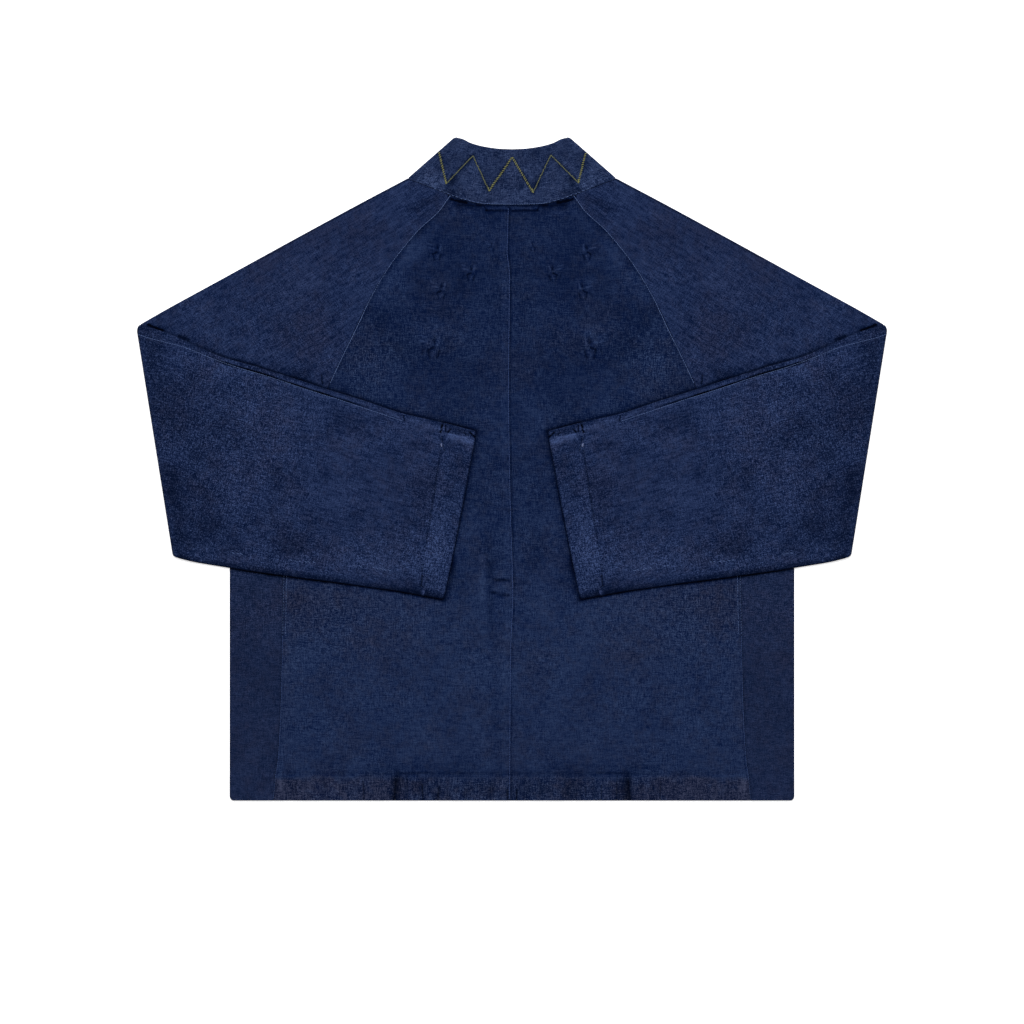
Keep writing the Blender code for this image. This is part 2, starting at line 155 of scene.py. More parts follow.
def softHills(x, y, size, seed):  # smooth random hills about `size` apart, between -1 and 1
    grid = np.random.default_rng(seed).uniform(-1.0, 1.0, (64, 64))
    u, v = np.asarray(x, float) / size, np.asarray(y, float) / size
    i, j = np.floor(u).astype(int), np.floor(v).astype(int)
    fu, fv = u - i, v - j
    fu, fv = fu * fu * (3 - 2 * fu), fv * fv * (3 - 2 * fv)
    near = grid[i % 64, j % 64] * (1 - fv) + grid[i % 64, (j + 1) % 64] * fv
    far = grid[(i + 1) % 64, j % 64] * (1 - fv) + grid[(i + 1) % 64, (j + 1) % 64] * fv
    return near * (1 - fu) + far * fu


def hills(x, y, *parts):  # several of them added up, each with its height, size and seed
    return sum(height * softHills(x, y, size, seed) for height, size, seed in parts)


def unit(vectors):
    return vectors / np.linalg.norm(vectors, axis=-1, keepdims=True)


def lineNormals(line):  # unit normals to the right of the way that a line of points runs
    ways = unit(np.diff(line, axis=0))
    ways = unit(np.concatenate([ways[:1], (ways[:-1] + ways[1:]) / 2, ways[-1:]]))
    return pair(ways[:, 1], -ways[:, 0])


def sided(stem, side):
    return stem + ("_left" if side < 0 else "_right")


# Creases and marks, listed one by one. Each is a soft line: out and up where it starts and where it
# ends, how far it fades out sideways, its height (below 0 is a trough), its tone (paler above 0 and
# darker below: painted shade in troughs, tucks and under raised edges, painted light on swells and
# ridges, elsewhere the cloth's own paler or darker places), and then the side that it is kept to,
# unless it is on both.

backMarks = [
    # the cloth swells round the puckers, painted a little paler as light on the swells
    (76, 633, 95, 637, 4.5, 0.3, 0.1), (74, 614, 97, 610, 4.5, 0.25, 0.08), (37, 610, 57, 613, 4, 0.25, 0.08),
    (74, 590, 95, 592, 4.5, 0.28, 0.1), (75, 566, 94, 562, 4.5, 0.25, 0.08),
    (74, 531, 108, 536, 5, 0.25, 0.12),
    # the neck seam's allowance shows through: painted shade in its dents below the collar's edge, painted
    # light on its rise
    (0, 669.8, 29, 670.2, 2.4, -0.45, -0.16), (36, 675.6, 62, 680.6, 3, -0.4, -0.4),
    (44, 673.6, 62, 674.5, 2.8, -0.2, -0.2), (46, 668.5, 60, 666, 3, 0.15, 0.14),
    # the cloth is paler beside the raglan seam
    (70, 668, 84, 656, 5, 0.2, 0.16), (88, 652, 122, 612, 8, 0.18, 0.3), (126, 606, 152, 566, 7, 0.12, 0.14),
    # tucks beside the centre seam: painted shade in their troughs, painted light on the swell between
    (2, 249.2, 21, 251, 1.4, -0.45, -0.75, -1), (3, 234.3, 23, 235, 1.3, -0.5, -0.8, -1),
    (4, 242, 20, 243, 4, 0.3, 0.12, -1), (2.5, 328, 9, 332, 1.4, -0.3, -0.35, -1),
    (3, 243, 13, 247, 1.6, -0.2, -0.22, 1),
    # a soft fold left of the centre, painted paler on its ridges and darker in its troughs as light and shade
    (34.5, 276, 33.5, 228, 3.6, 0.35, 0.44, -1), (33.5, 228, 27, 60, 5.5, 0.18, 0.08, -1),
    (25, 268, 24, 200, 5, -0.25, -0.24, -1), (22, 190, 18, 50, 6, -0.12, -0.14, -1),
    (38, 268, 37, 215, 5, 0.18, 0.1, 1), (100, 218, 64, 206, 3.2, -0.16, -0.12, -1),
    (146, 224, 94, 206, 5, 0.14, 0.1, 1), (126, 190, 168, 178, 9, -0.14, -0.06, -1),
    (70, 160, 118, 142, 10, 0.12, 0.05, 1), (205, 150, 224, 96, 10, -0.12, -0.05),
    # the valley above the hem, painted darker as shade
    (166, 30.5, 2, 31, 3.8, -0.34, -0.26), (166, 37, 40, 38.5, 7, -0.25, -0.18),
    (255, 31, 180, 30.5, 3, -0.3, -0.2),
    # a heavy pucker in the hem, with painted shade in its troughs
    (131.5, 3, 130, 30, 5.2, -0.35, -0.62), (122.5, 3, 123, 24, 2.2, -0.25, -0.34),
    (140.5, 3, 140, 22, 1.8, 0.25, 0.05),
    # the hem is pale beside the side seam
    (263, 5, 262.4, 23, 3.4, 0.2, 0.4), (252.5, 4, 250.5, 26, 4.2, -0.15, -0.08),
    (24, 8, 22, 22, 3.6, -0.12, -0.22, -1), (14, 17, 5, 25, 3.4, 0.12, 0.26, -1),
]
shoulderMarks = [
    # where the fold's upper layer lifts off: painted shade under its edge
    (411.5, 539, 397.6, 533.4, 2.6, -0.5, -0.3), (376, 527, 369, 524.4, 2.6, -0.3, -0.2),
    (270, 493, 236, 483, 6, -0.25, -0.22),
    # under the collar's edge, painted shade; then soft troughs and ridges, painted a little darker and paler
    # as shade and light
    (116, 672, 84, 684, 5, -0.2, -0.26), (104, 662, 86, 676, 4, -0.2, -0.16),
    (128, 652, 106, 655, 5, 0.2, 0.08), (332, 576, 262, 604, 9, -0.16, -0.05),
    (252, 560, 232, 586, 8, 0.14, 0.06), (204, 590, 178, 620, 9, -0.14, -0.05),
    (345, 541, 322, 520, 9, 0.14, 0.05),
]
foldedMarks = [
    # the cuff hem's start, with painted shade in its tuck
    (78.3, 430, 80.6, 419.2, 1.6, -0.6, -0.3), (75, 428.6, 75.1, 418.6, 1.5, -0.5, -0.2),
    # the cuff's lower layer peeps out
    (66, 421, 46, 417.4, 3, -0.3, -0.12), (70.6, 413.4, 42.8, 406.6, 3, 0.35, 0.55),
    (50, 406, 44.6, 402, 3.6, 0.25, 0.6), (99, 424.6, 81.5, 421.2, 2.4, 0.2, 0.22),
    (112.8, 384.6, 106.2, 384, 1.1, 0.12, 0.8), (118, 382, 100, 380, 4, 0.1, 0.22),
    (120, 434, 90, 426, 4, 0.15, 0.18),
    # a pale rub beside the cuff
    (118, 398, 96, 392, 2.4, 0.3, 0.34),
    # the cuff hem's line
    (80.6, 398, 102, 262, 3, -0.15, -0.1), (75, 392, 96, 262, 4.5, 0.18, 0.12),
    (76, 330, 92, 262, 9, 0.15, 0.24), (102.6, 237.6, 102, 233.8, 2.4, 0.2, 0.6),
    (101, 279, 99, 270, 2.8, 0.15, 0.4), (97, 266, 88, 262, 3.4, 0.15, 0.34),
    # along the overarm
    (379, 505, 320, 486, 9, 0.15, 0.18), (300, 480, 236, 462, 9, 0.15, 0.12),
    # beside the fold: soft troughs painted darker and ridges paler, as shade and light
    (396, 470, 386, 400, 9, -0.25, -0.14), (384, 372, 376, 322, 9, -0.2, -0.16),
    (378, 306, 366, 288, 7, -0.22, -0.2), (300, 330, 352, 372, 12, 0.16, 0.07),
    (240, 300, 186, 318, 14, -0.16, -0.06, -1), (260, 392, 196, 380, 13, 0.14, 0.06, -1),
    (204, 440, 150, 414, 10, -0.16, -0.08), (150, 402, 104, 396, 8, -0.18, -0.05, 1),
    (330, 430, 296, 402, 12, -0.16, -0.08, 1), (176, 268, 110, 262, 11, 0.12, 0.2),
    (290, 276, 190, 258, 7, 0.1, 0.05), (140, 360, 130, 310, 12, -0.14, -0.06),
]
collarMarks = [
    # drawn in beside the zigzag's low points, with painted shade in the dents
    (69, 700, 66, 706, 4, -0.3, -0.42), (76, 692, 62, 690, 5, -0.25, -0.32),
    (27, 700, 30, 708, 5, -0.15, -0.14), (10, 697, 12, 712, 5, -0.15, -0.12), (0, 722, 0, 712, 5.5, 0.15, 0.1),
    (8, 686, 0, 684.5, 6, 0.1, 0.16), (92, 712, 84, 700, 9, 0.1, 0.18), (40, 694, 52, 700, 7, 0.1, 0.06),
    (46, 738, 12, 730, 8, 0.12, -0.08), (70, 738, 56, 742, 7, 0.1, 0.05), (78, 722, 64, 730, 8, -0.1, -0.08),
]

# The same kind of soft creases on the sides that lie on the table; the height is away from the table.
frontUnderMarks = [
    (92, 560, 210, 452, 9, 0.45, -0.05), (84, 470, 196, 398, 7, 0.35, 0.05),
    (240, 330, 128, 270, 10, 0.45, -0.06, -1), (232, 352, 150, 306, 9, 0.4, -0.05, 1),
    (96, 214, 170, 160, 8, 0.35, 0.05, 1), (110, 190, 214, 132, 9, 0.4, -0.05, -1),
    (250, 96, 176, 60, 7, 0.35, -0.06), (78, 34, 258, 33, 3.4, 0.45, -0.25), (132, 3, 130, 26, 3, 0.35, -0.35),
    (206, 4, 208, 22, 2.4, 0.3, -0.3),
]
sleeveUnderMarks = [
    (216, 470, 290, 505, 9, 0.4, -0.05), (250, 410, 372, 448, 11, 0.4, -0.06),
    (282, 352, 360, 372, 8, 0.35, 0.05, 1), (298, 330, 366, 322, 9, 0.4, -0.05, -1),
    (180, 580, 262, 574, 8, 0.35, -0.05), (150, 628, 196, 634, 6, 0.3, 0.05),
]

# Patches: broad places where the cloth is paler or darker and fuzzier or smoother. Each is its
# middle's out and up, its reach out and up, its tone, and its wear unless that is 0.

backPatches = [
    (206, 199, 75, 42, 0.02, 0.85), (50, 72, 62, 46, 0, -0.36), (40, 18, 62, 22, 0, -0.4),
    (70, 640, 70, 46, 0, -0.18), (168, 496, 34, 44, 0.08, 1), (206, 232, 56, 22, 0, 0.5),
    (254, 12, 24, 16, 0.18), (50, 12, 74, 15, -0.29, 0.36), (164, 193, 20, 30, 0.1),
    (10, 300, 18, 42, -0.04, 0.25), (96, 651, 18, 18, -0.24), (36, 613, 24, 60, 0.04),
    (130, 585, 26, 26, 0.12, 0.1), (66, 532, 40, 24, 0.06, 0.25), (24, 432, 18, 52, 0.13),
    (98, 244, 28, 18, 0.28, 0.2), (60, 246, 16, 16, -0.16), (28, 278, 18, 40, -0.16),
    (198, 208, 26, 18, -0.26),
    (112, 518, 70, 26, 0, 0.5), (130, 515, 24, 18, -0.14), (152, 550, 26, 18, -0.1), (96, 452, 26, 16, 0.1),
    (252, 215, 18, 50, -0.1, 0.35), (258, 140, 12, 24, 0.12),
]
brownPatches = [
    (236, 224, 30, 34, 0.62), (172, 226, 50, 16, 0.4), (146, 176, 44, 26, 0.34), (60, 60, 60, 24, 0.14),
    (258, 120, 10, 60, 0.3),
]
shoulderPatches = [
    (138, 642, 62, 50, 0, -0.36), (320, 545, 70, 34, -0.03, 0.34), (229, 498, 60, 28, 0.04, 0.36),
    (252, 610, 50, 30, 0.03, -0.1), (232, 536, 84, 34, -0.1), (236, 492, 24, 16, -0.14),
]
foldedPatches = [
    (337, 409, 92, 115, -0.04, 0.7), (366, 420, 26, 60, -0.14), (232, 292, 60, 12, -0.13),
    (230, 450, 16, 14, -0.12), (130, 380, 18, 14, 0.1), (195, 278, 112, 20, -0.02, 0.8),
    (96, 295, 26, 38, 0.02, 0.6), (161, 380, 50, 32, 0, -0.28), (365, 477, 36, 44, -0.17),
    (257, 437, 42, 34, 0.2, 0.1), (127, 426, 36, 22, 0.22, 0.1), (348, 335, 38, 38, -0.22),
    (198, 346, 24, 20, 0.34), (110, 278, 40, 16, 0.14, 0.1), (62, 370, 22, 30, -0.24),
    (402, 512, 16, 22, -0.36), (96, 258, 26, 22, -0.1), (250, 472, 30, 18, -0.14), (298, 412, 24, 22, -0.2),
    (264, 376, 26, 20, -0.14), (334, 310, 20, 16, -0.18), (262, 280, 32, 16, -0.16), (96, 416, 18, 12, 0.14),
    (60, 402, 14, 14, 0.14), (86, 330, 14, 76, -0.04, 0.3),
]

# Strokes: marks too fine for the cloth's mesh. They have no height, and the material draws them:
# from one place to another, how far they fade out, and the tone: painted shade in tucks, gaps and
# under raised edges, painted light on small ridges, and a few pale rubs. The same on both halves.
# The first ones make a pucker, from its middle: where a stitch draws the cloth in, small dark and
# pale strokes fan out, painted shade and light.

puckerStrokes = [
    (-6.2, 5.2, -4.8, -1.2, 0.8, 0.62), (-2.6, 5.8, -3.4, 2.2, 0.7, -0.25), (1.4, 0.8, 8.4, 2.2, 0.85, 0.62),
    (4, 5, 9.5, 7, 0.7, 0.35), (-1.8, 3, -2.4, 0.8, 0.8, -0.5), (-1.4, -3.2, 2.8, -5.2, 1, -0.62),
    (-6.4, -6, -4.4, -11.6, 0.9, -0.42), (2.6, -6.6, 1.2, -12, 0.8, -0.36), (6.6, -5, 8, -9, 0.75, -0.25),
    (-2.6, -7.2, -1.2, -10, 0.8, 0.42),
]
puckers = [(86.9, 626, 1), (48.3, 602, 0.95), (82.3, 582, 1), (24.5, 631, 0.6), (91.5, 519, 1.4)]
backStrokes = [
    # the neck seam's allowance, with painted shade under the collar's edge
    (0, 669.8, 29, 670.2, 1.1, -0.42), (29, 670.2, 31.5, 675.5, 0.9, -0.4), (0, 672.4, 27, 672.8, 1.1, 0.22),
    (0, 675.4, 40, 676.2, 1.2, -0.42), (52, 679.2, 69, 683, 1.5, -0.95), (44, 675.2, 62, 676.6, 1, -0.35),
    # the hem beside the side seam
    (263.6, 14, 262.4, 23, 1.8, 1.05), (245.2, 1, 245.4, 23, 0.8, -0.45), (248.4, 1, 249, 20, 0.9, -0.3),
    # the heavy pucker and the ones near it, with painted shade in their folds
    (134, 1, 132, 22, 1.6, -0.3), (118.5, 1, 119.4, 28, 0.8, -0.4), (101, 1, 102, 18, 0.9, -0.55),
    (84, 4, 83, 16, 1, -0.4), (5, 1, 5.6, 12, 1, -0.7), (168, 2, 169, 22, 0.8, -0.5),
    (204, 2, 203, 18, 0.8, 0.4),
    # painted shade in the deepest part of the valley above the hem
    (126, 31, 96, 31.6, 1.1, -0.24),
]
sleeveStrokes = [
    # the cuff hem's start, with painted shade in its tuck
    (78.1, 430.6, 80.8, 418.8, 1.05, -1.5), (75.2, 428, 75.3, 418.4, 0.9, -0.75),
    (76.8, 427.4, 77.6, 421, 0.8, 0.7), (70.2, 421.2, 72.6, 418.8, 1.3, -1.1),
    # the cuff's lower layer peeps out
    (66, 420.2, 54, 418.4, 2.4, -0.16), (50.5, 420.8, 42.8, 418, 1.1, 0.75),
    (48.4, 418.8, 43, 413.4, 0.95, -1.15), (55, 417.4, 50, 415.2, 1, -0.6),
    (72.4, 416.4, 43.4, 409.2, 1.1, 1.1), (71.4, 413, 44.4, 406.4, 2, 0.55),
    (71.8, 418.8, 60, 415.6, 0.7, -0.35), (80.2, 413, 76.4, 397, 0.8, -0.45),
    (99, 425.4, 81.5, 421.6, 1.6, 0.5),
    # painted shade at the step where the overarm seam's ridge ends
    (123.4, 438.4, 122.2, 431.5, 1, -0.75),
    # the cuff hem's lower end
    (102.4, 255.4, 101.2, 255, 0.9, -1.4), (101.9, 253.6, 102.7, 244.4, 0.8, -0.62),
    (104.6, 244, 101.2, 243.4, 0.8, -0.45), (100.4, 238.6, 99.6, 233.6, 1.3, 0.75),
    (104, 256.4, 112, 258.2, 0.8, 0.45),
    # the cuff hem's edge, and its pale rub
    (80.8, 398, 102.4, 260, 0.9, -0.26), (77.6, 392, 98.6, 262, 2.2, 0.12), (103.6, 255, 76, 247.6, 0.9, 0.5),
    (84, 249.8, 80, 248.6, 1.1, 0.5), (69.2, 261, 69.2, 254.8, 0.7, 0.9),
]
shoulderStrokes = [
    # where the fold's upper layer lifts off: painted shade under its edge
    (413.4, 540.6, 397, 533.8, 1.15, -1.15), (404, 536.6, 397.6, 533.8, 1.8, -0.6),
    (378.4, 527.6, 367.6, 523.4, 2.2, -0.45), (216.2, 483, 215.4, 473.6, 0.9, -0.7),
]
zoneShift = {"back": 1000.0, "folded": 1000.0, "shoulder": 2000.0}  # keeps each set of strokes to its own zone


def readPatches(out, up, patches):
    tone, wear = np.zeros((2, *np.shape(out)))
    for middleOut, middleUp, reachOut, reachUp, paler, *fuzzier in patches:
        near = np.exp(-((out - middleOut) / reachOut) ** 2 - ((up - middleUp) / reachUp) ** 2)
        tone, wear = tone + paler * near, wear + sum(fuzzier) * near
    return tone, wear


def legDistance(x, y, start, end):  # distance to a straight leg, and the share of it run up to there
    (x0, y0), (x1, y1) = start, end
    dx, dy = x1 - x0, y1 - y0
    share = np.clip(((x - x0) * dx + (y - y0) * dy) / (dx * dx + dy * dy), 0.0, 1.0)
    return np.hypot(x - x0 - share * dx, y - y0 - share * dy), share


def readMarks(x, y, side, marks, seed):
    # height and tone that the marks add at each place: the deepest trough and the highest ridge
    # there. Hills bend each line a little off straight.
    wobble = 0.9
    px, py = x + wobble * softHills(x, y, 7.0, seed), y + wobble * softHills(y, x, 7.0, seed + 1)
    low, high, dark, light = np.zeros((4, *np.shape(px)))
    for startOut, startUp, endOut, endUp, width, rise, tone, *half in marks:
        if half in ([], [side]):
            near = bell(legDistance(px, py, (startOut, startUp), (endOut, endUp))[0], width)
            low, high = np.minimum(low, rise * near), np.maximum(high, rise * near)
            dark, light = np.minimum(dark, tone * near), np.maximum(light, tone * near)
    return low + high, dark + light


def lineDistance(x, y, corners):  # distance to the nearest leg of a line, and the length run up to there
    nearest, run, keys = np.full(np.shape(x), 1e6), np.zeros(np.shape(x)), lengthKeys(corners)
    for i in range(len(corners) - 1):
        distance, share = legDistance(x, y, corners[i], corners[i + 1])
        run = np.where(distance < nearest, keys[i] + share * (keys[i + 1] - keys[i]), run)
        nearest = np.minimum(nearest, distance)
    return nearest, run


def restShadow(out, up):
    # beside the folded half that lies on the cloth: each place's distance from its edge (below 0
    # under it), how dark its shadow is at that edge, how sharp, and a wide soft part of its own
    top, bottom, level = sleeve["top"], sleeve["bottom"], 0.0 * out
    (topGap, topRun), (cuffGap, cuffRun), (lowGap, lowRun) = (
        lineDistance(out, up, line) for line in (top, (top[-1], bottom[-1]), bottom))
    gaps = np.array([topGap, cuffGap, lowGap])
    depths = [(0.12 + 0.58 * smoothStep(topRun, 50.0, 110.0) - 0.28 * smoothStep(topRun, 250.0, 300.0)
               + 0.50 * smoothStep(topRun, 358.0, 366.0)) * (0.95 + 0.3 * softHills(topRun, level, 21.0, 181)),
              (0.40 + 0.32 * smoothStep(cuffRun, 30.0, 120.0))
              * (0.95 + 0.3 * softHills(cuffRun, level, 17.0, 183)),
              1.02 * (0.97 + 0.25 * softHills(lowRun, level, 21.0, 185))]
    spreads = [2.4 + 0.6 * softHills(topRun, level, 17.0, 182),
               3.0 - 0.9 * smoothStep(cuffRun, 60.0, 90.0) + 3.6 * smoothStep(cuffRun, 138.0, 160.0),
               2.3 + 0.6 * softHills(lowRun, level, 9.0, 186)]
    nearest = gaps.min(axis=0)
    shares = np.exp(-(gaps - nearest) / 2.0)
    depth, spread = ((shares * np.array(part)).sum(axis=0) / shares.sum(axis=0) for part in (depths, spreads))
    outline, under = np.concatenate([top, bottom[::-1]]), np.zeros(np.shape(out), bool)
    for (x0, y0), (x1, y1) in zip(outline, np.roll(outline, -1, axis=0)):
        under ^= ((y0 > up) != (y1 > up)) & (out < (x1 - x0) * (up - y0) / (y1 - y0 + 1e-9) + x0)
    return np.where(under, -nearest, nearest), depth, 1.0 / spread, 0.14 * bell(nearest, 7.0)


def softCloth(x, y, seed):  # the slow unevenness of cloth that has been smoothed out by hand
    return hills(x, y, (0.16, 58.0, seed), (0.11, 27.0, seed + 5), (0.05, 11.0, seed + 9))


def seamPucker(distance, along, seed, reach=7.0, pitch=9.0):
    # small uneven gathers beside a seam: hills along it that fade out sideways
    wave = softHills(along, distance * 0.25, pitch, seed)
    wave = wave + 0.5 * softHills(along, distance * 0.2, pitch / 2.3, seed + 3)
    return wave * np.exp(-np.abs(distance) / reach)


# Turning grids of points into closed walls of cloth

def toFrame(points, side):
    return (points * (side, 1.0, 1.0) + (0.0, hemLine, 0.0)) * mm


def gridFaces(rows, columns, start, closed):
    # quads between neighbouring rows and columns; a closed grid's last column meets its first
    r, c = np.meshgrid(np.arange(rows - 1), np.arange(columns if closed else columns - 1), indexing="ij")
    far = (c + 1) % columns
    quad = [r * columns + c, (r + 1) * columns + c, (r + 1) * columns + far, r * columns + far]
    return start + np.stack(quad, axis=-1).reshape(-1, 4)


def fillMesh(name, points, quads, faceUv, pointValues, finish):
    # writes the arrays into a new mesh object; faceUv holds a place on the cloth for each face corner
    mesh = bpy.data.meshes.new(name)
    starts = np.arange(0, quads.size, 4, dtype=np.int32)
    for part, count, key, values in ((mesh.vertices, len(points), "co", points.astype(np.float32)),
                                     (mesh.loops, quads.size, "vertex_index", quads.astype(np.int32)),
                                     (mesh.polygons, len(quads), "loop_start", starts)):
        part.add(count)
        part.foreach_set(key, values.ravel())
    mesh.polygons.foreach_set("use_smooth", np.ones(len(quads), dtype=bool))
    mesh.update(calc_edges=True)
    if faceUv is not None:
        mesh.uv_layers.new(name="cloth").data.foreach_set("uv", faceUv.astype(np.float32).ravel())
    for key, values in pointValues.items():
        mesh.attributes.new(key, "FLOAT", "POINT").data.foreach_set("value", values.astype(np.float32).ravel())
    mesh.materials.append(finish)
    mesh.validate()
    return show(name, mesh)


def show(name, data):
    thing = bpy.data.objects.new(name, data)
    bpy.context.scene.collection.objects.link(thing)
    return thing


def clothWall(name, outer, inner, place, values, finish, side=1, closed=False, otherPlace=None,
              otherSpans=(0, 0)):
    # one closed wall between an outer and an inner grid, with rims. place is where each point lies
    # on the cut cloth, which the weave follows; the spans on a tube's far side take otherPlace.
    # values holds what the material reads at the outer grid's points: tone, wear and so on.
    rows, columns = outer.shape[:2]
    size = rows * columns
    points = np.concatenate([toFrame(grid, side).reshape(-1, 3) for grid in (outer, inner)])
    spans = np.arange(columns if closed else columns - 1)
    faces = gridFaces(rows, columns, 0, closed)
    layers, spanOf = [faces, faces[:, ::-1] + size], [np.tile(spans, rows - 1)] * 2
    index = np.arange(size).reshape(rows, columns)
    rims = [(index[0], spans), (index[-1][::-1], np.roll(spans[::-1], -1) if closed else spans[::-1])]
    if closed:
        rims = [(np.append(rim, rim[0]), numbers) for rim, numbers in rims]
    else:
        rims += [(index[::-1, 0], np.zeros(rows - 1, int)), (index[:, -1], np.zeros(rows - 1, int))]
    for rim, numbers in rims:
        layers.append(np.stack([rim[:-1], rim[1:], rim[1:] + size, rim[:-1] + size], axis=-1))
        spanOf.append(numbers)
    quads, spanOf = np.concatenate(layers), np.concatenate(spanOf)
    a, b, d, e = (points[quads[:, k]] for k in range(4))
    if np.einsum("ij,ij->i", a, np.cross(b, d) + np.cross(d, e)).sum() < 0:  # the volume: faces point outwards
        quads = quads[:, ::-1]
    faceUv = place.reshape(-1, 2)[quads % size] * mm
    if otherPlace is not None:
        far = (spanOf >= otherSpans[0]) & (spanOf < otherSpans[1])
        faceUv[far] = otherPlace.reshape(-1, 2)[quads[far] % size] * mm
    values = {"wear": np.ones((rows, columns)), **values}
    both = {key: np.concatenate([part.ravel(), np.full(size, float(key == "wear"))])
            for key, part in values.items()}
    return fillMesh(name, points, quads, faceUv, both, finish)


def roundCorner(grid, corner, wayA, wayB, radius):
    # rounds off a corner between two edges that run along wayA and wayB. In the square next to it,
    # a and b (1 at the edges) become a sqrt(1 - b b / 2) and b sqrt(1 - a a / 2), a quarter circle.
    u, v = np.moveaxis((grid[..., :2] - corner) @ np.linalg.inv(np.stack([wayA, wayB])), -1, 0)
    a, b = 1.0 - u / radius, 1.0 - v / radius
    near = (a > 0) & (b > 0)
    a, b = np.clip(a, 0.0, 1.2), np.clip(b, 0.0, 1.2)
    turnedA, turnedB = a * np.sqrt(np.maximum(1 - b * b / 2, 0)), b * np.sqrt(np.maximum(1 - a * a / 2, 0))
    moved = corner + (radius * (1 - turnedA))[..., None] * wayA + (radius * (1 - turnedB))[..., None] * wayB
    grid[..., :2] = np.where(near[..., None], moved, grid[..., :2])


def lapShare(distance):  # 1 at a wall's edge, 0 from 3 mm in
    return np.clip(1.0 - distance / 3.0, 0.0, 1.0)


def softEdge(distance, radius):  # how far a wall's face falls towards a rounded edge
    inside = np.clip(radius - distance, 0.0, radius)
    return radius - np.sqrt(radius * radius - inside * inside)


# Materials

def rgb(r, g, b):  # a colour as it looks on screen, 0 to 255, made linear
    value = np.array([r, g, b]) / 255.0
    return (*np.where(value <= 0.04045, value / 12.92, ((value + 0.055) / 1.055) ** 2.4), 1.0)


class Nodes:  # a short way to add and wire a material's nodes
    def __init__(self, name):
        self.material = bpy.data.materials.new(name)
        self.material.use_nodes = True
        self.tree = self.material.node_tree
        self.shader = self.tree.nodes["Principled BSDF"]

    def wire(self, node, inputs):
        for key, value in dict(inputs).items():
            if isinstance(value, bpy.types.NodeSocket):
                self.tree.links.new(value, node.inputs[key])
            else:
                node.inputs[key].default_value = value

    def add(self, kind, inputs=(), output=0, **settings):
        node = self.tree.nodes.new("ShaderNode" + kind)
        for key, value in settings.items():
            setattr(node, key, value)
        self.wire(node, inputs)
        return node.outputs[output]

    def math(self, operation, a, b=0.0, c=0.0, clamp=False):
        return self.add("Math", {0: a, 1: b, 2: c}, operation=operation, use_clamp=clamp)

    def times(self, a, b, c=None, clamp=False):  # a b, or a b + c
        if c is None:
            return self.math("MULTIPLY", a, b)
        return self.math("MULTIPLY_ADD", a, b, c, clamp)

    def swing(self, value, amount, base):  # base + amount (value - 1/2)
        return self.times(self.math("SUBTRACT", value, 0.5), amount, base)

    def mix(self, factor, a, b, **settings):
        return self.add("Mix", {"Factor": factor, "A": a, "B": b}, output=2, data_type="RGBA", **settings)

    def read(self, *names):
        return [self.add("Attribute", attribute_name=name, output=2) for name in names]

    def noise(self, place, size, detail=2.0, rough=0.5, stretch=(1, 1), turn=0.0):
        # smooth noise on the cloth, its grain about `size` mm, stretched across and along
        scale = (1.0 / (size * stretch[0] * mm), 1.0 / (size * stretch[1] * mm), 1.0)
        spot = self.add("Mapping", {"Vector": place, "Scale": scale, "Rotation": (0, 0, turn)})
        return self.add("TexNoise", {"Vector": spot, "Scale": 1.0, "Detail": detail, "Roughness": rough})


denimLooks = {  # screen colours of the deep and pale threads, how strongly each grain shows, its turn
    "body": dict(deep=(4, 19, 54), pale=(40, 55, 88), middle=0.405, grain=1.42, fuzz=0.52, slub=0.66,
                 weft=0.62, drag=0.30, clump=0.24, patch=0.18, warmth=0.50, fleck=0.90, lean=0.0),
    "sleeve": dict(deep=(4, 18, 49), pale=(44, 58, 94), middle=0.36, grain=1.72, fuzz=0.72, slub=0.58,
                   weft=0.56, drag=0.50, clump=0.32, patch=0.12, warmth=0.44, fleck=1.1, lean=0.548),
    "side": dict(deep=(8, 22, 50), pale=(41, 52, 84), middle=0.39, grain=1.30, fuzz=0.40, slub=0.42,
                 weft=0.48, drag=0.16, clump=0.34, patch=0.18, warmth=0.40, fleck=0.3, lean=0.0),
    "collar": dict(deep=(7, 21, 52), pale=(52, 66, 100), middle=0.40, grain=1.28, fuzz=0.58, slub=0.54,
                   weft=0.64, drag=0.24, clump=0.36, patch=0.14, warmth=0.20, fleck=0.75, lean=0.0),
}
denimNoises = {  # size, detail, roughness, stretch, turn
    "grain": (1.05, 2.0, 0.8),
    "fuzz": (2.4, 3.0, 0.75, (1.0, 0.8), 0.5),
    "slub": (1.25, 1.5, 0.5, (1.0, 7.0)),
    "weft": (1.25, 1.5, 0.5, (6.0, 1.0)),
    "drag": (3.4, 3.0, 0.6, (7.0, 1.0)),
    "clump": (6.5, 3.0, 0.6, (1.6, 0.9)),
    "patch": (38.0, 2.0),
    "speck": (1.7, 1.0, 0.5, (1.0, 1.5), 0.3),
    "streak": (1.3, 2.0, 0.6, (4.0, 1.0)),
    "warm": (11.0, 3.0, 0.7, (1, 1), 0.4),
    "broadWarm": (52.0, 2.0, 0.5, (1, 1), 1.1),
}
brownTint = (1.07, 0.75, 0.65, 1.0)
white = (1, 1, 1, 1)


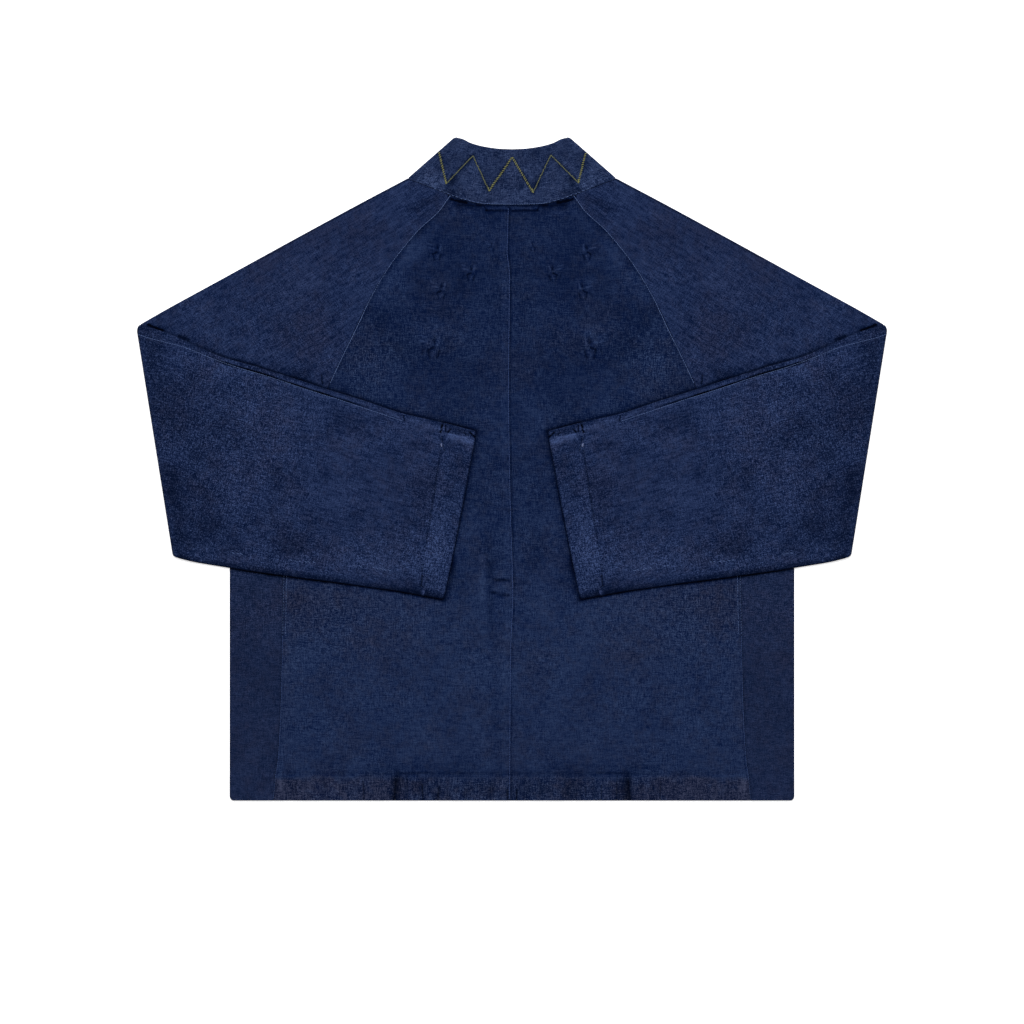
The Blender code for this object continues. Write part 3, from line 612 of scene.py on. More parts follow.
def strokeTone(n, place, strokes):
    # adds up the strokes' bells at each place: for each the share of its length nearest to the
    # place, held between 0 and 1, then tone times e to the minus (distance / width) squared.
    # Noise bends them a little.
    x, y, draw = n.read("drawX", "drawY", "draw")
    x, y = (n.swing(n.noise(place, 3.6, 2.5, 0.6, turn=turn), 3.4, value)
            for value, turn in ((x, 0.0), (y, 1.3)))
    total = 0.0
    for x0, y0, x1, y1, width, tone in strokes:
        dx, dy = x1 - x0, y1 - y0
        run = dx * dx + dy * dy
        share = n.times(x, dx / run, -(x0 * dx + y0 * dy) / run)
        share = n.times(y, dy / run, share, clamp=True)
        offX = n.math("SUBTRACT", x, n.times(share, dx, x0))
        offY = n.math("SUBTRACT", y, n.times(share, dy, y0))
        square = n.times(offX, offX, n.times(offY, offY))
        total = n.times(n.math("EXPONENT", n.times(square, -1.0 / width ** 2)), tone, total)
    return n.times(total, draw)


def paintedRestShadow(n, place):
    # the painted shadow beside cloth that lies on top: depth times e to the minus (gap times sharp)
    # squared, with a gap that fuzz makes ragged and that counts as 0 under that cloth
    gap, depth, sharp = n.read("gap", "depth", "sharp")
    share = n.times(n.math("MAXIMUM", n.swing(n.noise(place, 2.2, 3.0, 0.7), 3.0, gap), 0.0), sharp)
    return n.times(n.math("EXPONENT", n.times(n.times(share, share), -1.0)), depth)


def denim(name, look, strokes=()):
    # indigo cloth: deep and pale threads mixed by fine grain, fuzz, slubs both ways, long drags,
    # clumps, broad patches and pale flecks, all on the cut cloth's own coordinates, turned so that
    # the drags run along the sleeve. The tone attribute makes it paler or darker: the cloth's own uneven
    # tone, and painted light and shade at creases, seams and edges, with the strokes' tone added and the
    # painted shadow beside cloth that lies on top taken off; below 0 it darkens the colour as painted
    # shade. Wear makes its grain and flecks stronger or weaker, brown tints and streaks it.
    n = Nodes(name)
    place = n.add("Mapping", {"Vector": n.add("UVMap", uv_map="cloth"), "Rotation": (0, 0, look["lean"])})
    tone, wear, brown = n.read("tone", "wear", "brown")
    tone = n.math("SUBTRACT", tone, paintedRestShadow(n, place))
    if strokes:
        tone = n.math("ADD", tone, strokeTone(n, place, strokes))
    noise = {key: n.noise(place, *values) for key, values in denimNoises.items()}
    fine = 0.0
    for key in ("grain", "fuzz", "slub", "weft"):
        fine = n.swing(noise[key], look[key] * 2.2, fine)
    mix = n.times(fine, wear, look["middle"])
    for key in ("drag", "clump", "patch"):
        mix = n.swing(noise[key], look[key] * 2.2, mix)
    fleck = n.add("MapRange", {"Value": noise["speck"], "From Min": 0.58, "From Max": 0.74})
    fuzzy = n.math("MAXIMUM", n.math("SUBTRACT", wear, 0.65), 0.0)
    mix = n.times(n.times(fleck, fuzzy), look["fleck"], mix)
    mix = n.swing(noise["streak"], n.times(brown, 0.6), mix)
    mix = n.math("MAXIMUM", n.math("MINIMUM", n.times(tone, 0.75, mix), 1.9), 0.0)
    colour = n.mix(mix, rgb(*look["deep"]), rgb(*look["pale"]), clamp_factor=False)
    warmth = n.times(noise["warm"], 0.55, n.times(noise["broadWarm"], 0.45))
    share = n.times(n.add("MapRange", {"Value": warmth, "From Min": 0.46, "From Max": 0.60}), look["warmth"])
    share = n.times(brown, n.swing(noise["clump"], 0.9, 1.0), share, clamp=True)
    colour = n.mix(1.0, colour, n.mix(share, white, brownTint), blend_type="MULTIPLY")
    shadow = n.math("MAXIMUM", n.times(n.math("MINIMUM", tone, 0.0), 0.8, 1.0), 0.12)
    grey = n.add("CombineColor", {0: shadow, 1: shadow, 2: shadow})
    colour = n.mix(1.0, colour, grey, blend_type="MULTIPLY")
    turned = n.add("Mapping", {"Vector": place, "Rotation": (0, 0, 1.08)})
    twill = n.add("TexWave", {"Vector": turned, "Scale": 0.314 / (0.85 * mm), "Distortion": 1.2, "Detail": 1.0,
                              "Detail Scale": 2.0}, output=1)
    relief = n.times(twill, 0.5, n.times(noise["grain"], 0.8))
    relief = n.times(noise["slub"], 0.7, n.times(noise["fuzz"], 0.8, relief))
    bump = n.add("Bump", {"Strength": 0.6, "Distance": 0.35 * mm, "Height": relief})
    n.wire(n.shader, {"Base Color": colour, "Normal": bump, "Roughness": 0.92, "Specular IOR Level": 0.02,
                      "Sheen Weight": 0.008, "Sheen Roughness": 0.5, "Sheen Tint": rgb(150, 170, 215)})
    return n.material


threadLooks = {  # the material's name, two screen colours, and a slot name
    "bright": ("indigo_thread_bright", (114, 124, 158), (80, 92, 128), "indigo_thread"),
    "pale": ("indigo_thread", (90, 112, 158), (64, 84, 128), "indigo_thread"),
    "soft": ("indigo_thread_soft", (62, 84, 136), (44, 62, 106), "indigo_thread"),
    "dull": ("indigo_thread_dull", (52, 66, 100), (34, 48, 82), "indigo_thread"),
    "ochre": ("ochre_thread", (126, 128, 78), (84, 86, 56), "ochre_thread"),
    "olive": ("ochre_thread_dull", (104, 108, 78), (70, 77, 62), "ochre_thread"),
}


def threadFinish(name, pale, shade):  # spun thread: two close colours mixed by fine noise, with a soft sheen
    n = Nodes(name)
    fibre = n.add("TexNoise", {"Vector": n.add("TexCoord", output=3), "Scale": 900.0, "Detail": 2.0})
    n.wire(n.shader, {
        "Base Color": n.mix(fibre, rgb(*shade), rgb(*pale)), "Roughness": 0.65, "Specular IOR Level": 0.15,
        "Sheen Weight": 0.05,
        "Normal": n.add("Bump", {"Strength": 0.4, "Distance": 0.1 * mm, "Height": fibre})})
    return n.material


def movedBy(strokes, by):
    return [(x0 + by, y0, x1 + by, *rest) for x0, y0, x1, *rest in strokes]


bodyDenim = denim("indigo_denim", denimLooks["body"], puckerStrokes + movedBy(backStrokes, zoneShift["back"]))
frontDenim = denim("indigo_denim_front", denimLooks["body"])
sleeveDenim = denim("indigo_denim_sleeve", denimLooks["sleeve"], movedBy(sleeveStrokes, zoneShift["folded"])
                    + movedBy(shoulderStrokes, zoneShift["shoulder"]))
sideDenim = denim("indigo_denim_side", denimLooks["side"])
collarDenim = denim("indigo_denim_collar", denimLooks["collar"])
threads = {key: threadFinish(*look[:3]) for key, look in threadLooks.items()}
print("materials ready")


# The seam lines, each a function of the length run down the back seam from the neck

seamKeys = lengthKeys(seams["back"])
seamEnd = seamKeys[-1]
underarmKey = seamKeys[armholeRows - 1]
hemFine = [seamEnd - cloth["hemDepth"], seamEnd - cloth["hemDepth"] + cloth["hemStep"], seamEnd]


def seamLine(key, at):
    return follow(seamKeys, seams[key], at)


def centreX(up):
    return smoothThrough(*centreSeam.T, up)


def hemShare(up):
    return 1.0 - smoothStep(up, cloth["hemDepth"] - cloth["hemStep"], cloth["hemDepth"])


def hemWall(up):
    return cloth["wall"] + (cloth["hemWall"] - cloth["wall"]) * hemShare(up)


def backFloor(out, up):
    bandOuts, bandUps = seams["band"][::-1].T
    edge, ramp = np.interp(up, bandUps, bandOuts) + cloth["overBandRamp"], cloth["overBandRamp"] / 2
    overBand = 1.0 - smoothStep(np.abs(out), edge - ramp, edge + ramp)
    return cloth["backFloor"] + np.maximum(cloth["overBand"] * overBand, cloth["overHem"] * hemShare(up))


def backTop(out, up):
    return backFloor(out, up) + hemWall(up)


# The back: two panels joined by the centre seam

backLook = dict(step=2.9, ditch=0.75, hemRipple=0.22, edgeRadius=0.9,
                # the seam's allowance, pressed to the left half and felt through the cloth
                allowance=9.0, allowanceRise=0.35, allowanceLightAndWear=0.16)


def hemBand(x, up):  # 1 on the turned hem, with an upper edge that wanders
    edge = 25.0 + 3.0 * softHills(x, 0.0 * x, 27.0, 64) + 2.2 * softHills(x, up * 0.5, 9.0, 60)
    return 1.0 - smoothStep(up - edge, -5.0, 5.0)


def backRelief(out, up, centreGap, seamGap, side):
    # height and tone over the flat back; the gaps are distances to the centre seam and outer seam
    height = softCloth(out * side, up, 11)
    height += 0.34 * seamPucker(centreGap, up, 21 + side)
    height += 0.26 * seamPucker(seamGap, up, 31 + side, reach=8.0)
    markHeight, tone = readMarks(out, up, side, backMarks, 41 + side)
    height += markHeight
    # the raised allowance is painted paler, as wear and as painted light on its ridge
    if side < 0:
        lit = 1.0 - smoothStep(centreGap, backLook["allowance"] - 1.5, backLook["allowance"])
        height += backLook["allowanceRise"] * lit
        tone += backLook["allowanceLightAndWear"] * lit * (0.75 + 0.5 * softHills(up, out, 21.0, 5))
    # beside the side seam the cloth is raised a little and painted paler, as wear and as painted light on it
    sideLit = 0.3 * (1.0 - smoothStep(seamGap, 7.0, 8.5)) * smoothStep(330.0 - up, 0.0, 20.0)
    height += sideLit
    tone += 0.30 * sideLit * (0.8 + 0.6 * softHills(up, out, 26.0, 7))
    # painted shade in each seam's joint and in the groove beside it
    beside = 0.10 + 0.16 * smoothStep(330.0 - up, 0.0, 20.0)
    for gap, dark in ((centreGap, 0.38 if side > 0 else 0.10), (seamGap, beside)):
        joint, groove = bell(gap, 0.7), bell(gap - 1.7, 0.8)
        height -= 0.25 * joint + backLook["ditch"] * dark * groove
        tone -= 0.15 * joint + dark * groove * (0.85 + 0.35 * softHills(up, out * 0.1, 23.0, 9))
    hem = hemBand(out * side, up)
    ripple = softHills(out * side, up * 0.15, 8.5, 61) + 0.8 * softHills(out * side, up * 0.12, 3.6, 62)
    height += hem * ripple * backLook["hemRipple"]
    # the hem's ripples are painted paler on their ridges and darker between, partly as wear, partly as painted
    # light and shade
    tone += hem * (0.15 * ripple - 0.02) * smoothStep(centreGap, 0.0, 6.0)
    tone += hills(-out, up, (0.05, 34.0, 65), (0.05, 15.0, 66)) + readPatches(out, up, backPatches)[0]
    tone += 0.10 * smoothStep(400.0 - up, 0.0, 190.0) - 0.16 * smoothStep(up, 250.0, 400.0)
    tone -= 0.06 * smoothStep(up, 430.0, 560.0)
    return np.clip(height, -0.85, 0.42), tone


def backWear(out, up, side):  # the grain shows more on the hem, less high up, more between the puckers
    wear = 0.96 - 0.06 * smoothStep(up, 430.0, 560.0) + 1.20 * hemBand(out * side, up)
    return wear + readPatches(out, up, backPatches)[1] + hills(-out, up, (0.22, 40.0, 67), (0.15, 18.0, 68))


def backBrown(out, up, side):  # the hem has taken a brown tint, and so have places under the sleeves
    hem = hemBand(out * side, up) * np.clip(0.84 + 0.35 * softHills(out * side, up, 19.0, 69), 0.0, 1.2)
    hem *= 0.50 + 0.50 * smoothStep(np.abs(out), 30.0, 180.0)
    return np.maximum(hem, readPatches(out, up, brownPatches)[0])


def backDrawing(out, up):
    # where the material draws its strokes: near a pucker the place from its middle, elsewhere the
    # real place with its zone's shift added to x; and how far the strokes are faded in
    x, y = out + zoneShift["back"], up + 0.0
    draw = (1.0 - smoothStep(up, 34.0, 40.0)) + smoothStep(up, 655.0, 661.0)
    for middleOut, middleUp, reach in puckers:
        nearX, nearY = (out - middleOut) / reach, (up - middleUp) / reach
        distance = np.hypot(nearX, nearY)
        x, y = np.where(distance < 24.0, nearX, x), np.where(distance < 24.0, nearY, y)
        draw = np.maximum(draw, min(reach + 0.1, 1.0) * (1.0 - smoothStep(distance, 14.0, 18.0)))
    return x, y, draw


def neckDip(at, outAtNeck, upAtNeck):  # the neck's curve, fading out down the back
    fade = np.where(at > seamKeys[3], 0.0, smoothThrough(seamKeys[:4], [1.0, 0.66, 0.33, 0.0], at))
    return fade[:, None] * (smoothThrough(*neck["sewn"].T, outAtNeck) - upAtNeck)[None, :]


def makeBack(side):
    # rows run down the seams and columns across: place = centre (1 - share) + outer seam share, top =
    # the cloth's own level + relief - 0.6 edge, where edge falls off in a quarter circle
    name, lap, step = sided("back", side), cloth["lap"], backLook["step"]
    at = stations(0.0, seamEnd, step, [0.0, *hemFine], 0.5)
    widest = seams["back"][-1, 0]
    share = stations(0.0, widest, step, [0.0, backLook["allowance"], widest], 0.45) / widest
    outerSeam = seamLine("back", at) - (cloth["seamGap"] / 2, 0.0)
    centreUp = smoothThrough(seamKeys, seams["centre"][:, 1], at)
    centre = pair(side * centreX(centreUp) + cloth["seamGap"] / 2, centreUp)
    flat = between(centre, outerSeam, share)
    flat[..., 1] += neckDip(at, flat[0, :, 0], flat[0, :, 1])
    out, up = flat[..., 0], flat[..., 1]
    centreGap, neckGap = out - centre[:, None, 0], at[:, None] + 0.0 * out
    seamGap = (outerSeam[:, None, 0] - out) * np.where(at < underarmKey, 0.78, 1.0)[:, None]
    height, tone = backRelief(out, up, centreGap, seamGap, side)
    edge = softEdge(np.min([centreGap, seamGap, neckGap, up], axis=0), backLook["edgeRadius"])
    top = backTop(out, up) + height - 0.6 * edge
    floor = np.maximum(backFloor(out, up) + np.minimum(height, 0.1) + 0.3 * edge, 1.35)
    innerOut = out + lap * lapShare(seamGap) + (-lap if side < 0 else 1.3 * lap) * lapShare(centreGap)
    inner = np.stack([innerOut, up + lap * lapShare(neckGap), np.minimum(floor, top - 0.35)], axis=-1)
    # the painted shadow beside the folded sleeve: its sharp part drawn by the material, its wide soft part
    # taken off the tone
    gap, depth, sharp, soft = restShadow(out, up)
    drawX, drawY, draw = backDrawing(out, up)
    values = dict(tone=tone - soft, wear=backWear(out, up, side), brown=backBrown(out, up, side),
                  gap=gap, depth=depth, sharp=sharp, drawX=drawX, drawY=drawY, draw=draw)
    piece = clothWall(name + "_cloth", np.stack([out, up, top], axis=-1), inner, pair(out * side, up), values,
                      bodyDenim, side)
    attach(piece, "root")
    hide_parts(name)
    return piece


backPieces = [makeBack(side) for side in (-1, 1)]
print("back ready")


# The side panels wrap round the body's sides, from the back seam to the front seam

sideLook = dict(step=2.6, edgeSteps=9, bodyOut=320.8, underarmUp=290.0, cornerRound=5.0)


def makeSide(side):
    # a flat strip from the seam to the bend, half a turn round it, out = bend + r sin(turn) and
    # z = middle + r cos(turn), and the strip back again below, for an outer and an inner radius
    name, edgeSteps = sided("side_panel", side), sideLook["edgeSteps"]
    at = stations(underarmKey, seamEnd, sideLook["step"], hemFine, 0.5)
    seam = seamLine("back", at) + (cloth["seamGap"] / 2, 0.0)
    seamOut, seamUp = seam.T
    slant = sideLook["underarmUp"] / seamUp[0]
    ease = smoothStep(seamUp[0] - seamUp, 0.0, seamUp[0] - cloth["hemDepth"])
    edgeUp = seamUp * (slant + (1.0 - slant) * ease)
    top, wall = backTop(seamOut, seamUp), hemWall(seamUp)
    bendOut = sideLook["bodyOut"] - top / 2
    width = sideLook["bodyOut"] - seamOut[0]
    share = stations(0.0, width, sideLook["step"], [0.0], 0.4) / width
    turn = np.linspace(0.0, np.pi, edgeSteps)
    flat = between(seam, pair(bendOut, edgeUp), share)
    flatOut, flatUp = flat[..., 0], flat[..., 1]
    flatGap = flatOut - seamOut[:, None]
    grids = []
    for radius, aboveEdge in ((top / 2, 0.5), (top / 2 - wall, -0.3)):
        if aboveEdge < 0:  # the inner grid
            flatOut = flatOut + 1.3 * cloth["lap"] * lapShare(flatGap)
        height = softCloth(flatOut * side, flatUp, 71) + 0.22 * seamPucker(flatGap, flatUp, 75 + side)
        height -= 0.7 * bell(flatGap, 1.3)
        height = np.clip(height, -0.7, 0.4) * smoothStep(bendOut[:, None] - flatOut, 0.0, 8.0)
        rounded = softEdge(np.minimum(flatGap, flatUp), 0.8)
        above = (top / 2 + radius)[:, None] + height - aboveEdge * rounded
        below = (top / 2 - radius)[:, None] + np.sign(aboveEdge) * 0.3 * rounded
        bend = (bendOut[:, None] + radius[:, None] * np.sin(turn), np.repeat(edgeUp[:, None], edgeSteps, 1),
                (top / 2)[:, None] + radius[:, None] * np.cos(turn))
        grids.append(np.stack([
            np.concatenate([high[:, :-1], turned, low[:, ::-1][:, 1:]], axis=1)
            for high, turned, low in zip((flatOut, flatUp, above), bend, (flatOut, flatUp, below))], axis=-1))
    out, up = grids[0][..., 0], grids[0][..., 1]
    under = flatOut.shape[1] + edgeSteps // 2  # the first column on the side that lies on the table
    around = lengthKeys(grids[0][len(at) // 2, :, ::2])
    seamGap = out - seamOut[:, None]
    # the painted shadow beside the folded sleeve, kept off the face on the table; then painted shade at the
    # seam's joint and within 5 mm of it
    gap, depth, sharp, soft = restShadow(out, up)
    depth[:, under:], soft[:, under:] = 0.0, 0.0
    tone = -0.15 * bell(seamGap, 0.7) + 0.08 * softHills(out * side, up, 30.0, 77) - soft
    tone += 0.04 * bell(up, 26.0) - 0.10 * smoothStep(up, 200.0, 260.0) * softHills(up, out, 20.0, 79)
    tone -= 0.10 * smoothStep(-seamGap, -5.0, 0.0)
    tone[:, flatOut.shape[1] + edgeSteps:] *= 0.5
    worn = smoothStep(up, 150.0, 215.0)
    wear = 1.0 + 0.10 * softHills(out, up, 30.0, 81) + worn * (0.75 + 0.35 * softHills(out, up, 22.0, 82))
    brown = np.clip(0.08 * worn + 0.16 * softHills(out, up, 26.0, 83), 0.0, 0.4)
    place = pair((np.repeat(around[None, :], len(at), 0) + 90.0) * side, up)
    for grid in grids:
        roundCorner(grid, np.array([sideLook["bodyOut"], 0.0]), np.array([-1.0, 0.0]), np.array([0.0, 1.0]),
                    sideLook["cornerRound"])
    values = dict(tone=tone, wear=wear, brown=brown, gap=gap, depth=depth, sharp=sharp)
    piece = clothWall(name + "_cloth", *grids, place, values, sideDenim, side)
    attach(piece, "root")
    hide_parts(name)
    return piece


sidePieces = [makeSide(side) for side in (-1, 1)]
print("side panels ready")


# The fronts and their doubled bands lie flat on the table, under the back

frontLook = dict(step=5.0, bandStep=4.0, dent=0.5)
hemSeamUp = 25.7  # the hem's row of stitches


def makeFront(side):
    # place = band seam (1 - share) + outer seam share; the face on the table rises by dent + groove
    name = sided("front", side)
    at = stations(0.0, seamEnd, frontLook["step"], [0.0, *hemFine], 0.6)
    outerSeam = seamLine("front", at) - (cloth["seamGap"] / 2, 0.0)
    band = seamLine("band", at) + (cloth["seamGap"], 0.0)
    flat = between(band, outerSeam, stations(0.0, 1.0, 0.024, [0.0, 1.0], 0.003, 0.06))
    out, up = flat[..., 0], flat[..., 1]
    bandGap, seamGap = out - band[:, None, 0], outerSeam[:, None, 0] - out
    crease, shade = readMarks(out, up, side, frontUnderMarks, 87 + side)
    dent = softCloth(out * side, up, 81) + 0.3 * seamPucker(bandGap, up, 83)
    dent += 0.2 * seamPucker(seamGap, up, 84)
    dent = np.clip(dent + crease, 0.0, frontLook["dent"])
    groove = 0.35 * bell(bandGap, 1.2) + 0.35 * bell(seamGap, 1.2)
    groove += 0.3 * bell(bandGap - 3.0, 0.7) + 0.3 * bell(up - hemSeamUp, 0.7)
    # the grooves at its seams and by the hem's stitching are painted darker, as shade in them
    tone = 0.08 * softHills(out * side, up, 34.0, 85) - 0.9 * groove + shade
    bottom, top = (np.stack([out, up, level], axis=-1)
                   for level in (np.minimum(dent + groove, 0.6), hemWall(up)))
    piece = clothWall(name + "_cloth", bottom, top, pair(out * side, up), {"tone": tone}, frontDenim, side)
    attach(piece, "root")
    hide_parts(name)
    return piece


def makeBand(side):
    # place = sewn edge (1 - share) + free edge share, with all four edges rounded above and below
    name = sided("front_band", side)
    at = stations(0.0, seamEnd, frontLook["bandStep"], [0.0, seamEnd], 0.6)
    sewn, free = seamLine("band", at), seamLine("edge", at)
    share = stations(0.0, 1.0, 0.06, [0.0, 1.0], 0.008, 0.1)
    flat = between(sewn, free, share)
    out, up = flat[..., 0], flat[..., 1]
    width = np.linalg.norm(sewn - free, axis=1)[:, None]
    sewnGap, freeGap = share * width, (1 - share) * width
    edge = softEdge(np.min([sewnGap, freeGap, up, at[:, None] + 0 * out], axis=0), 1.05)
    groove = 0.3 * bell(sewnGap - 2.4, 0.8) + 0.3 * bell(freeGap - 5.0, 0.8)
    dent = np.clip(0.6 * softCloth(out * side, up, 91), 0.0, 0.3)
    # the grooves beside its stitching are painted darker, as shade in them; it is paler towards its free edge
    tone = 0.08 * softHills(out * side, up, 30.0, 95) - 0.8 * groove + 0.2 * np.exp(-freeGap / 1.5)
    bottom, top = (np.stack([out, up, level], axis=-1) for level in (
        edge + np.minimum(dent + groove, 0.5), cloth["collarWall"] - edge - 0.6 * groove))
    piece = clothWall(name + "_cloth", bottom, top, pair(out * side, up), {"tone": tone}, collarDenim, side)
    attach(piece, "root")
    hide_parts(name)
    return piece


frontPieces = []
for side in (-1, 1):
    frontPieces.append(makeFront(side))
    makeBand(side)
print("fronts and bands ready")


# The collar stands behind the neck and turns under at both sides

collarLook = dict(step=1.5, foldSteps=14, edgeRadius=1.05, tipRound=5.0, seamDrop=0.6, width=62.0,
                  turnLength=8.3, frontKeys=[0.0, 19.0, 33.5])  # cloth in the turn, and run so far in front

zigzag = dict(  # the ornamental line's corners, left to right; the first is at the collar's left edge
    corners=np.array([(-83, 736.5), (-74.6, 700.7), (-44.2, 732.3), (-26.1, 692.3), (0.3, 730.6),
                      (23.9, 690.6), (44.2, 733.1), (75.4, 701.5), (83.6, 735.6)]),
    heavy=[True, False, False, True, True, False, False, True])


def collarRelief(x, up, sewnGap, freeGap):
    halves = (readMarks(np.abs(x), up, side, collarMarks, seed) for side, seed in ((-1, 103), (1, 107)))
    height, tone = np.where(x < 0, *halves)
    height += 0.8 * softCloth(x, up, 101)
    stitched, run = lineDistance(x, up, zigzag["corners"])
    height -= 0.34 * bell(stitched, 1.7)
    # along the zigzag's stitching the cloth is drawn in and painted darker, as shade in the dent
    tone -= 0.42 * bell(stitched, 2.0) * (0.9 + 0.6 * softHills(run, x * 0.0, 6.0, 117))
    height += 0.22 * seamPucker(sewnGap, x, 109) - 0.30 * bell(sewnGap - 1.6, 0.9)
    tone += 0.16 * bell(freeGap, 1.6) - 0.06 + hills(x, up, (0.08, 13.0, 111), (0.09, 6.0, 113))
    return np.clip(height, -0.7, 0.45), tone


def collarHalf():
    # one half of the collar's middle line: behind the neck, round the fold, in front
    axisZ = (neck["floor"] + cloth["collarWall"]) / 2
    way = unit(neck["foldFree"] - neck["foldSewn"])
    outward = np.array([way[1], -way[0]])
    axes = [neck[key] - outward * axisZ for key in ("foldSewn", "foldFree")]
    keys, frontKeys = lengthKeys([*neck["sewn"], axes[0]]), collarLook["frontKeys"]
    at = stations(0.0, keys[-1], collarLook["step"], [], 0.5)
    frontAt = stations(0.0, frontKeys[-1], 2.4, [frontKeys[-1]], 0.4)[1:]
    angle = np.linspace(0.0, np.pi, collarLook["foldSteps"])[1:]
    sewn, free = (np.concatenate([follow(keys, [*neck[back], axis], at), np.repeat(axis[None], len(angle), 0),
                                  follow(frontKeys, [axis, *neck[front]], frontAt)])
                  for back, front, axis in zip(("sewn", "free"), ("frontSewn", "frontFree"), axes))
    turned = keys[-1] + collarLook["turnLength"] * np.linspace(0, 1, len(angle) + 1)[1:]
    along = np.concatenate([at, turned, keys[-1] + collarLook["turnLength"] + frontAt])
    angle = np.concatenate([np.zeros(len(at)), angle, np.full(len(frontAt), np.pi)])
    return sewn, free, angle, along, outward, axisZ


def makeCollar():
    # a strip from its sewn to its free edge, turned about an axis in the cloth: place + outward
    # r sin(angle) and z = axis + r cos(angle), with an angle of 0 behind the neck and pi in front
    sewn, free, angle, along, outward, axisZ = collarHalf()
    width = collarLook["width"]
    share = stations(0.0, width, collarLook["step"], [0.0, width], 0.3, 5.0) / width
    half, mirror = between(sewn, free, share), np.array([-1.0, 1.0])
    flat = np.concatenate([half[:0:-1] * mirror, half])
    angles, allAlong = (np.concatenate([sign * values[:0:-1], values])[:, None]
                        for sign, values in ((1, angle), (-1, along)))
    outwards = np.where(np.arange(len(flat))[:, None] < len(half) - 1, outward * mirror, outward)
    length = np.linalg.norm(flat[:, 0] - flat[:, -1], axis=1)[:, None]
    sewnGap, freeGap = share * length, (1 - share) * length
    x, up = flat[..., 0], flat[..., 1]
    endGap = along[-1] - np.abs(allAlong) + 0 * x
    height, tone = collarRelief(x, up, sewnGap, freeGap)
    # behind the neck the sewn edge reaches down in front of the back's own edge, and closes the seam
    behind = 1.0 - smoothStep(angles, 0.0, 1.2)
    height *= behind
    edge, freeEdge = (softEdge(np.min(gaps, axis=0), collarLook["edgeRadius"])
                      for gaps in ((sewnGap, freeGap, endGap), (freeGap, endGap)))
    closing = -collarLook["seamDrop"] * (1.0 - smoothStep(sewnGap, 1.0, 3.5))
    under = behind * (closing + freeEdge) + (1.0 - behind) * edge
    away = ((flat[:, -1] - flat[:, 0]) / length)[:, None]
    lapped = lapShare(sewnGap)[..., None] * away
    grids = []
    for radius, reach in ((axisZ + height - edge, 0.12),
                          (axisZ - cloth["collarWall"] + 0.6 * height + under, 0.12 + cloth["lap"])):
        place = flat + reach * lapped + outwards[:, None] * (radius * np.sin(angles))[..., None]
        grids.append(np.concatenate([place, (axisZ + radius * np.cos(angles))[..., None]], axis=-1))
    for grid in grids:
        for mirror in ((-1.0, 1.0), (1.0, 1.0)):
            tip, sewnTip, beside = (neck[key] * mirror for key in ("foldFree", "foldSewn", "free"))
            roundCorner(grid, tip, unit(sewnTip - tip), unit(beside[-2] - tip), collarLook["tipRound"])
    wear = 1.05 + 0.35 * softHills(x, up, 14.0, 115)
    wear += 0.65 * bell(np.abs(x) - 92.0, 15.0) * bell(up - 704.0, 14.0)
    wear += 0.45 * bell(x - 3.0, 13.0) * bell(up - 702.0, 16.0)
    # plainer where it is turned under
    values = dict(tone=tone * (0.3 + 0.7 * behind), wear=1.0 + (wear - 1.0) * behind)
    piece = clothWall("collar_cloth", *grids, pair(allAlong + 0 * x, sewnGap + 0 * x), values, collarDenim)
    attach(piece, "root")
    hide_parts("collar")
    return piece


collarPiece = makeCollar()
print("collar ready")


# The sleeves: one flattened tube each, folded across so that its far half lies on the back

sleeveLook = dict(step=4.0, ringStep=3.3, foldSteps=14, bendSteps=5,
                  ridgeRise=0.45, ridgeWidth=5.3, ridgeGroove=0.75, underarmLine=17.0,
                  elbowRound=7.5, underRound=6.0, cuffRound=3.5)
sleeveTop = cloth["backFloor"] + cloth["wall"]
foldZ = sleeveTop + sleeve["foldRadius"]
foldTop, foldBottom = sleeve["foldTop"], sleeve["foldBottom"]
foldWay = unit(foldTop - foldBottom)
foldOut = np.array([foldWay[1], -foldWay[0]])
layerShift = 1500.0  # keeps the grain of a sleeve's other layer from being the same again
faceKeys = ("tone", "wear", "brown", "gap", "depth", "sharp", "drawX", "drawY", "draw")


def armholeLine(key, at):
    # the armhole from the overarm's neck end to the underarm, as a function of the point's number
    start = neck["sewn"][-1] if key == "back" else neck["frontSewn"][0]
    points = np.array([neck["foldSewn"], start, *seams[key][:armholeRows], sleeve["underarm"]])
    line = follow(np.arange(len(points)), points, at)
    return line - lineNormals(line) * cloth["seamGap"] * 0.75


def foldShare(number):
    return smoothThrough(np.arange(len(sleeve["foldShare"])), sleeve["foldShare"], number)


def sleeveColumns():
    # point numbers from overarm to underarm, spaced so that neither end of the tube is too coarse
    fine = np.linspace(0.0, len(sleeve["foldShare"]) - 1.0, 4000)
    share, foldLength = foldShare(fine), np.linalg.norm(foldTop - foldBottom)
    armholeStep = np.linalg.norm(np.diff(armholeLine("back", fine), axis=0), axis=1)
    stepLength = np.maximum(0.62 * armholeStep, np.diff(share) * foldLength)
    reach = np.concatenate([[0.0], np.cumsum(stepLength)])
    ridge, line = np.interp([sleeveLook["ridgeWidth"] / foldLength,
                             1.0 - sleeveLook["underarmLine"] / foldLength], share, reach)
    spots = stations(0.0, reach[-1], sleeveLook["step"], [0.0, ridge, line, reach[-1]], 0.9, 9.0)
    return np.interp(spots, reach, fine)


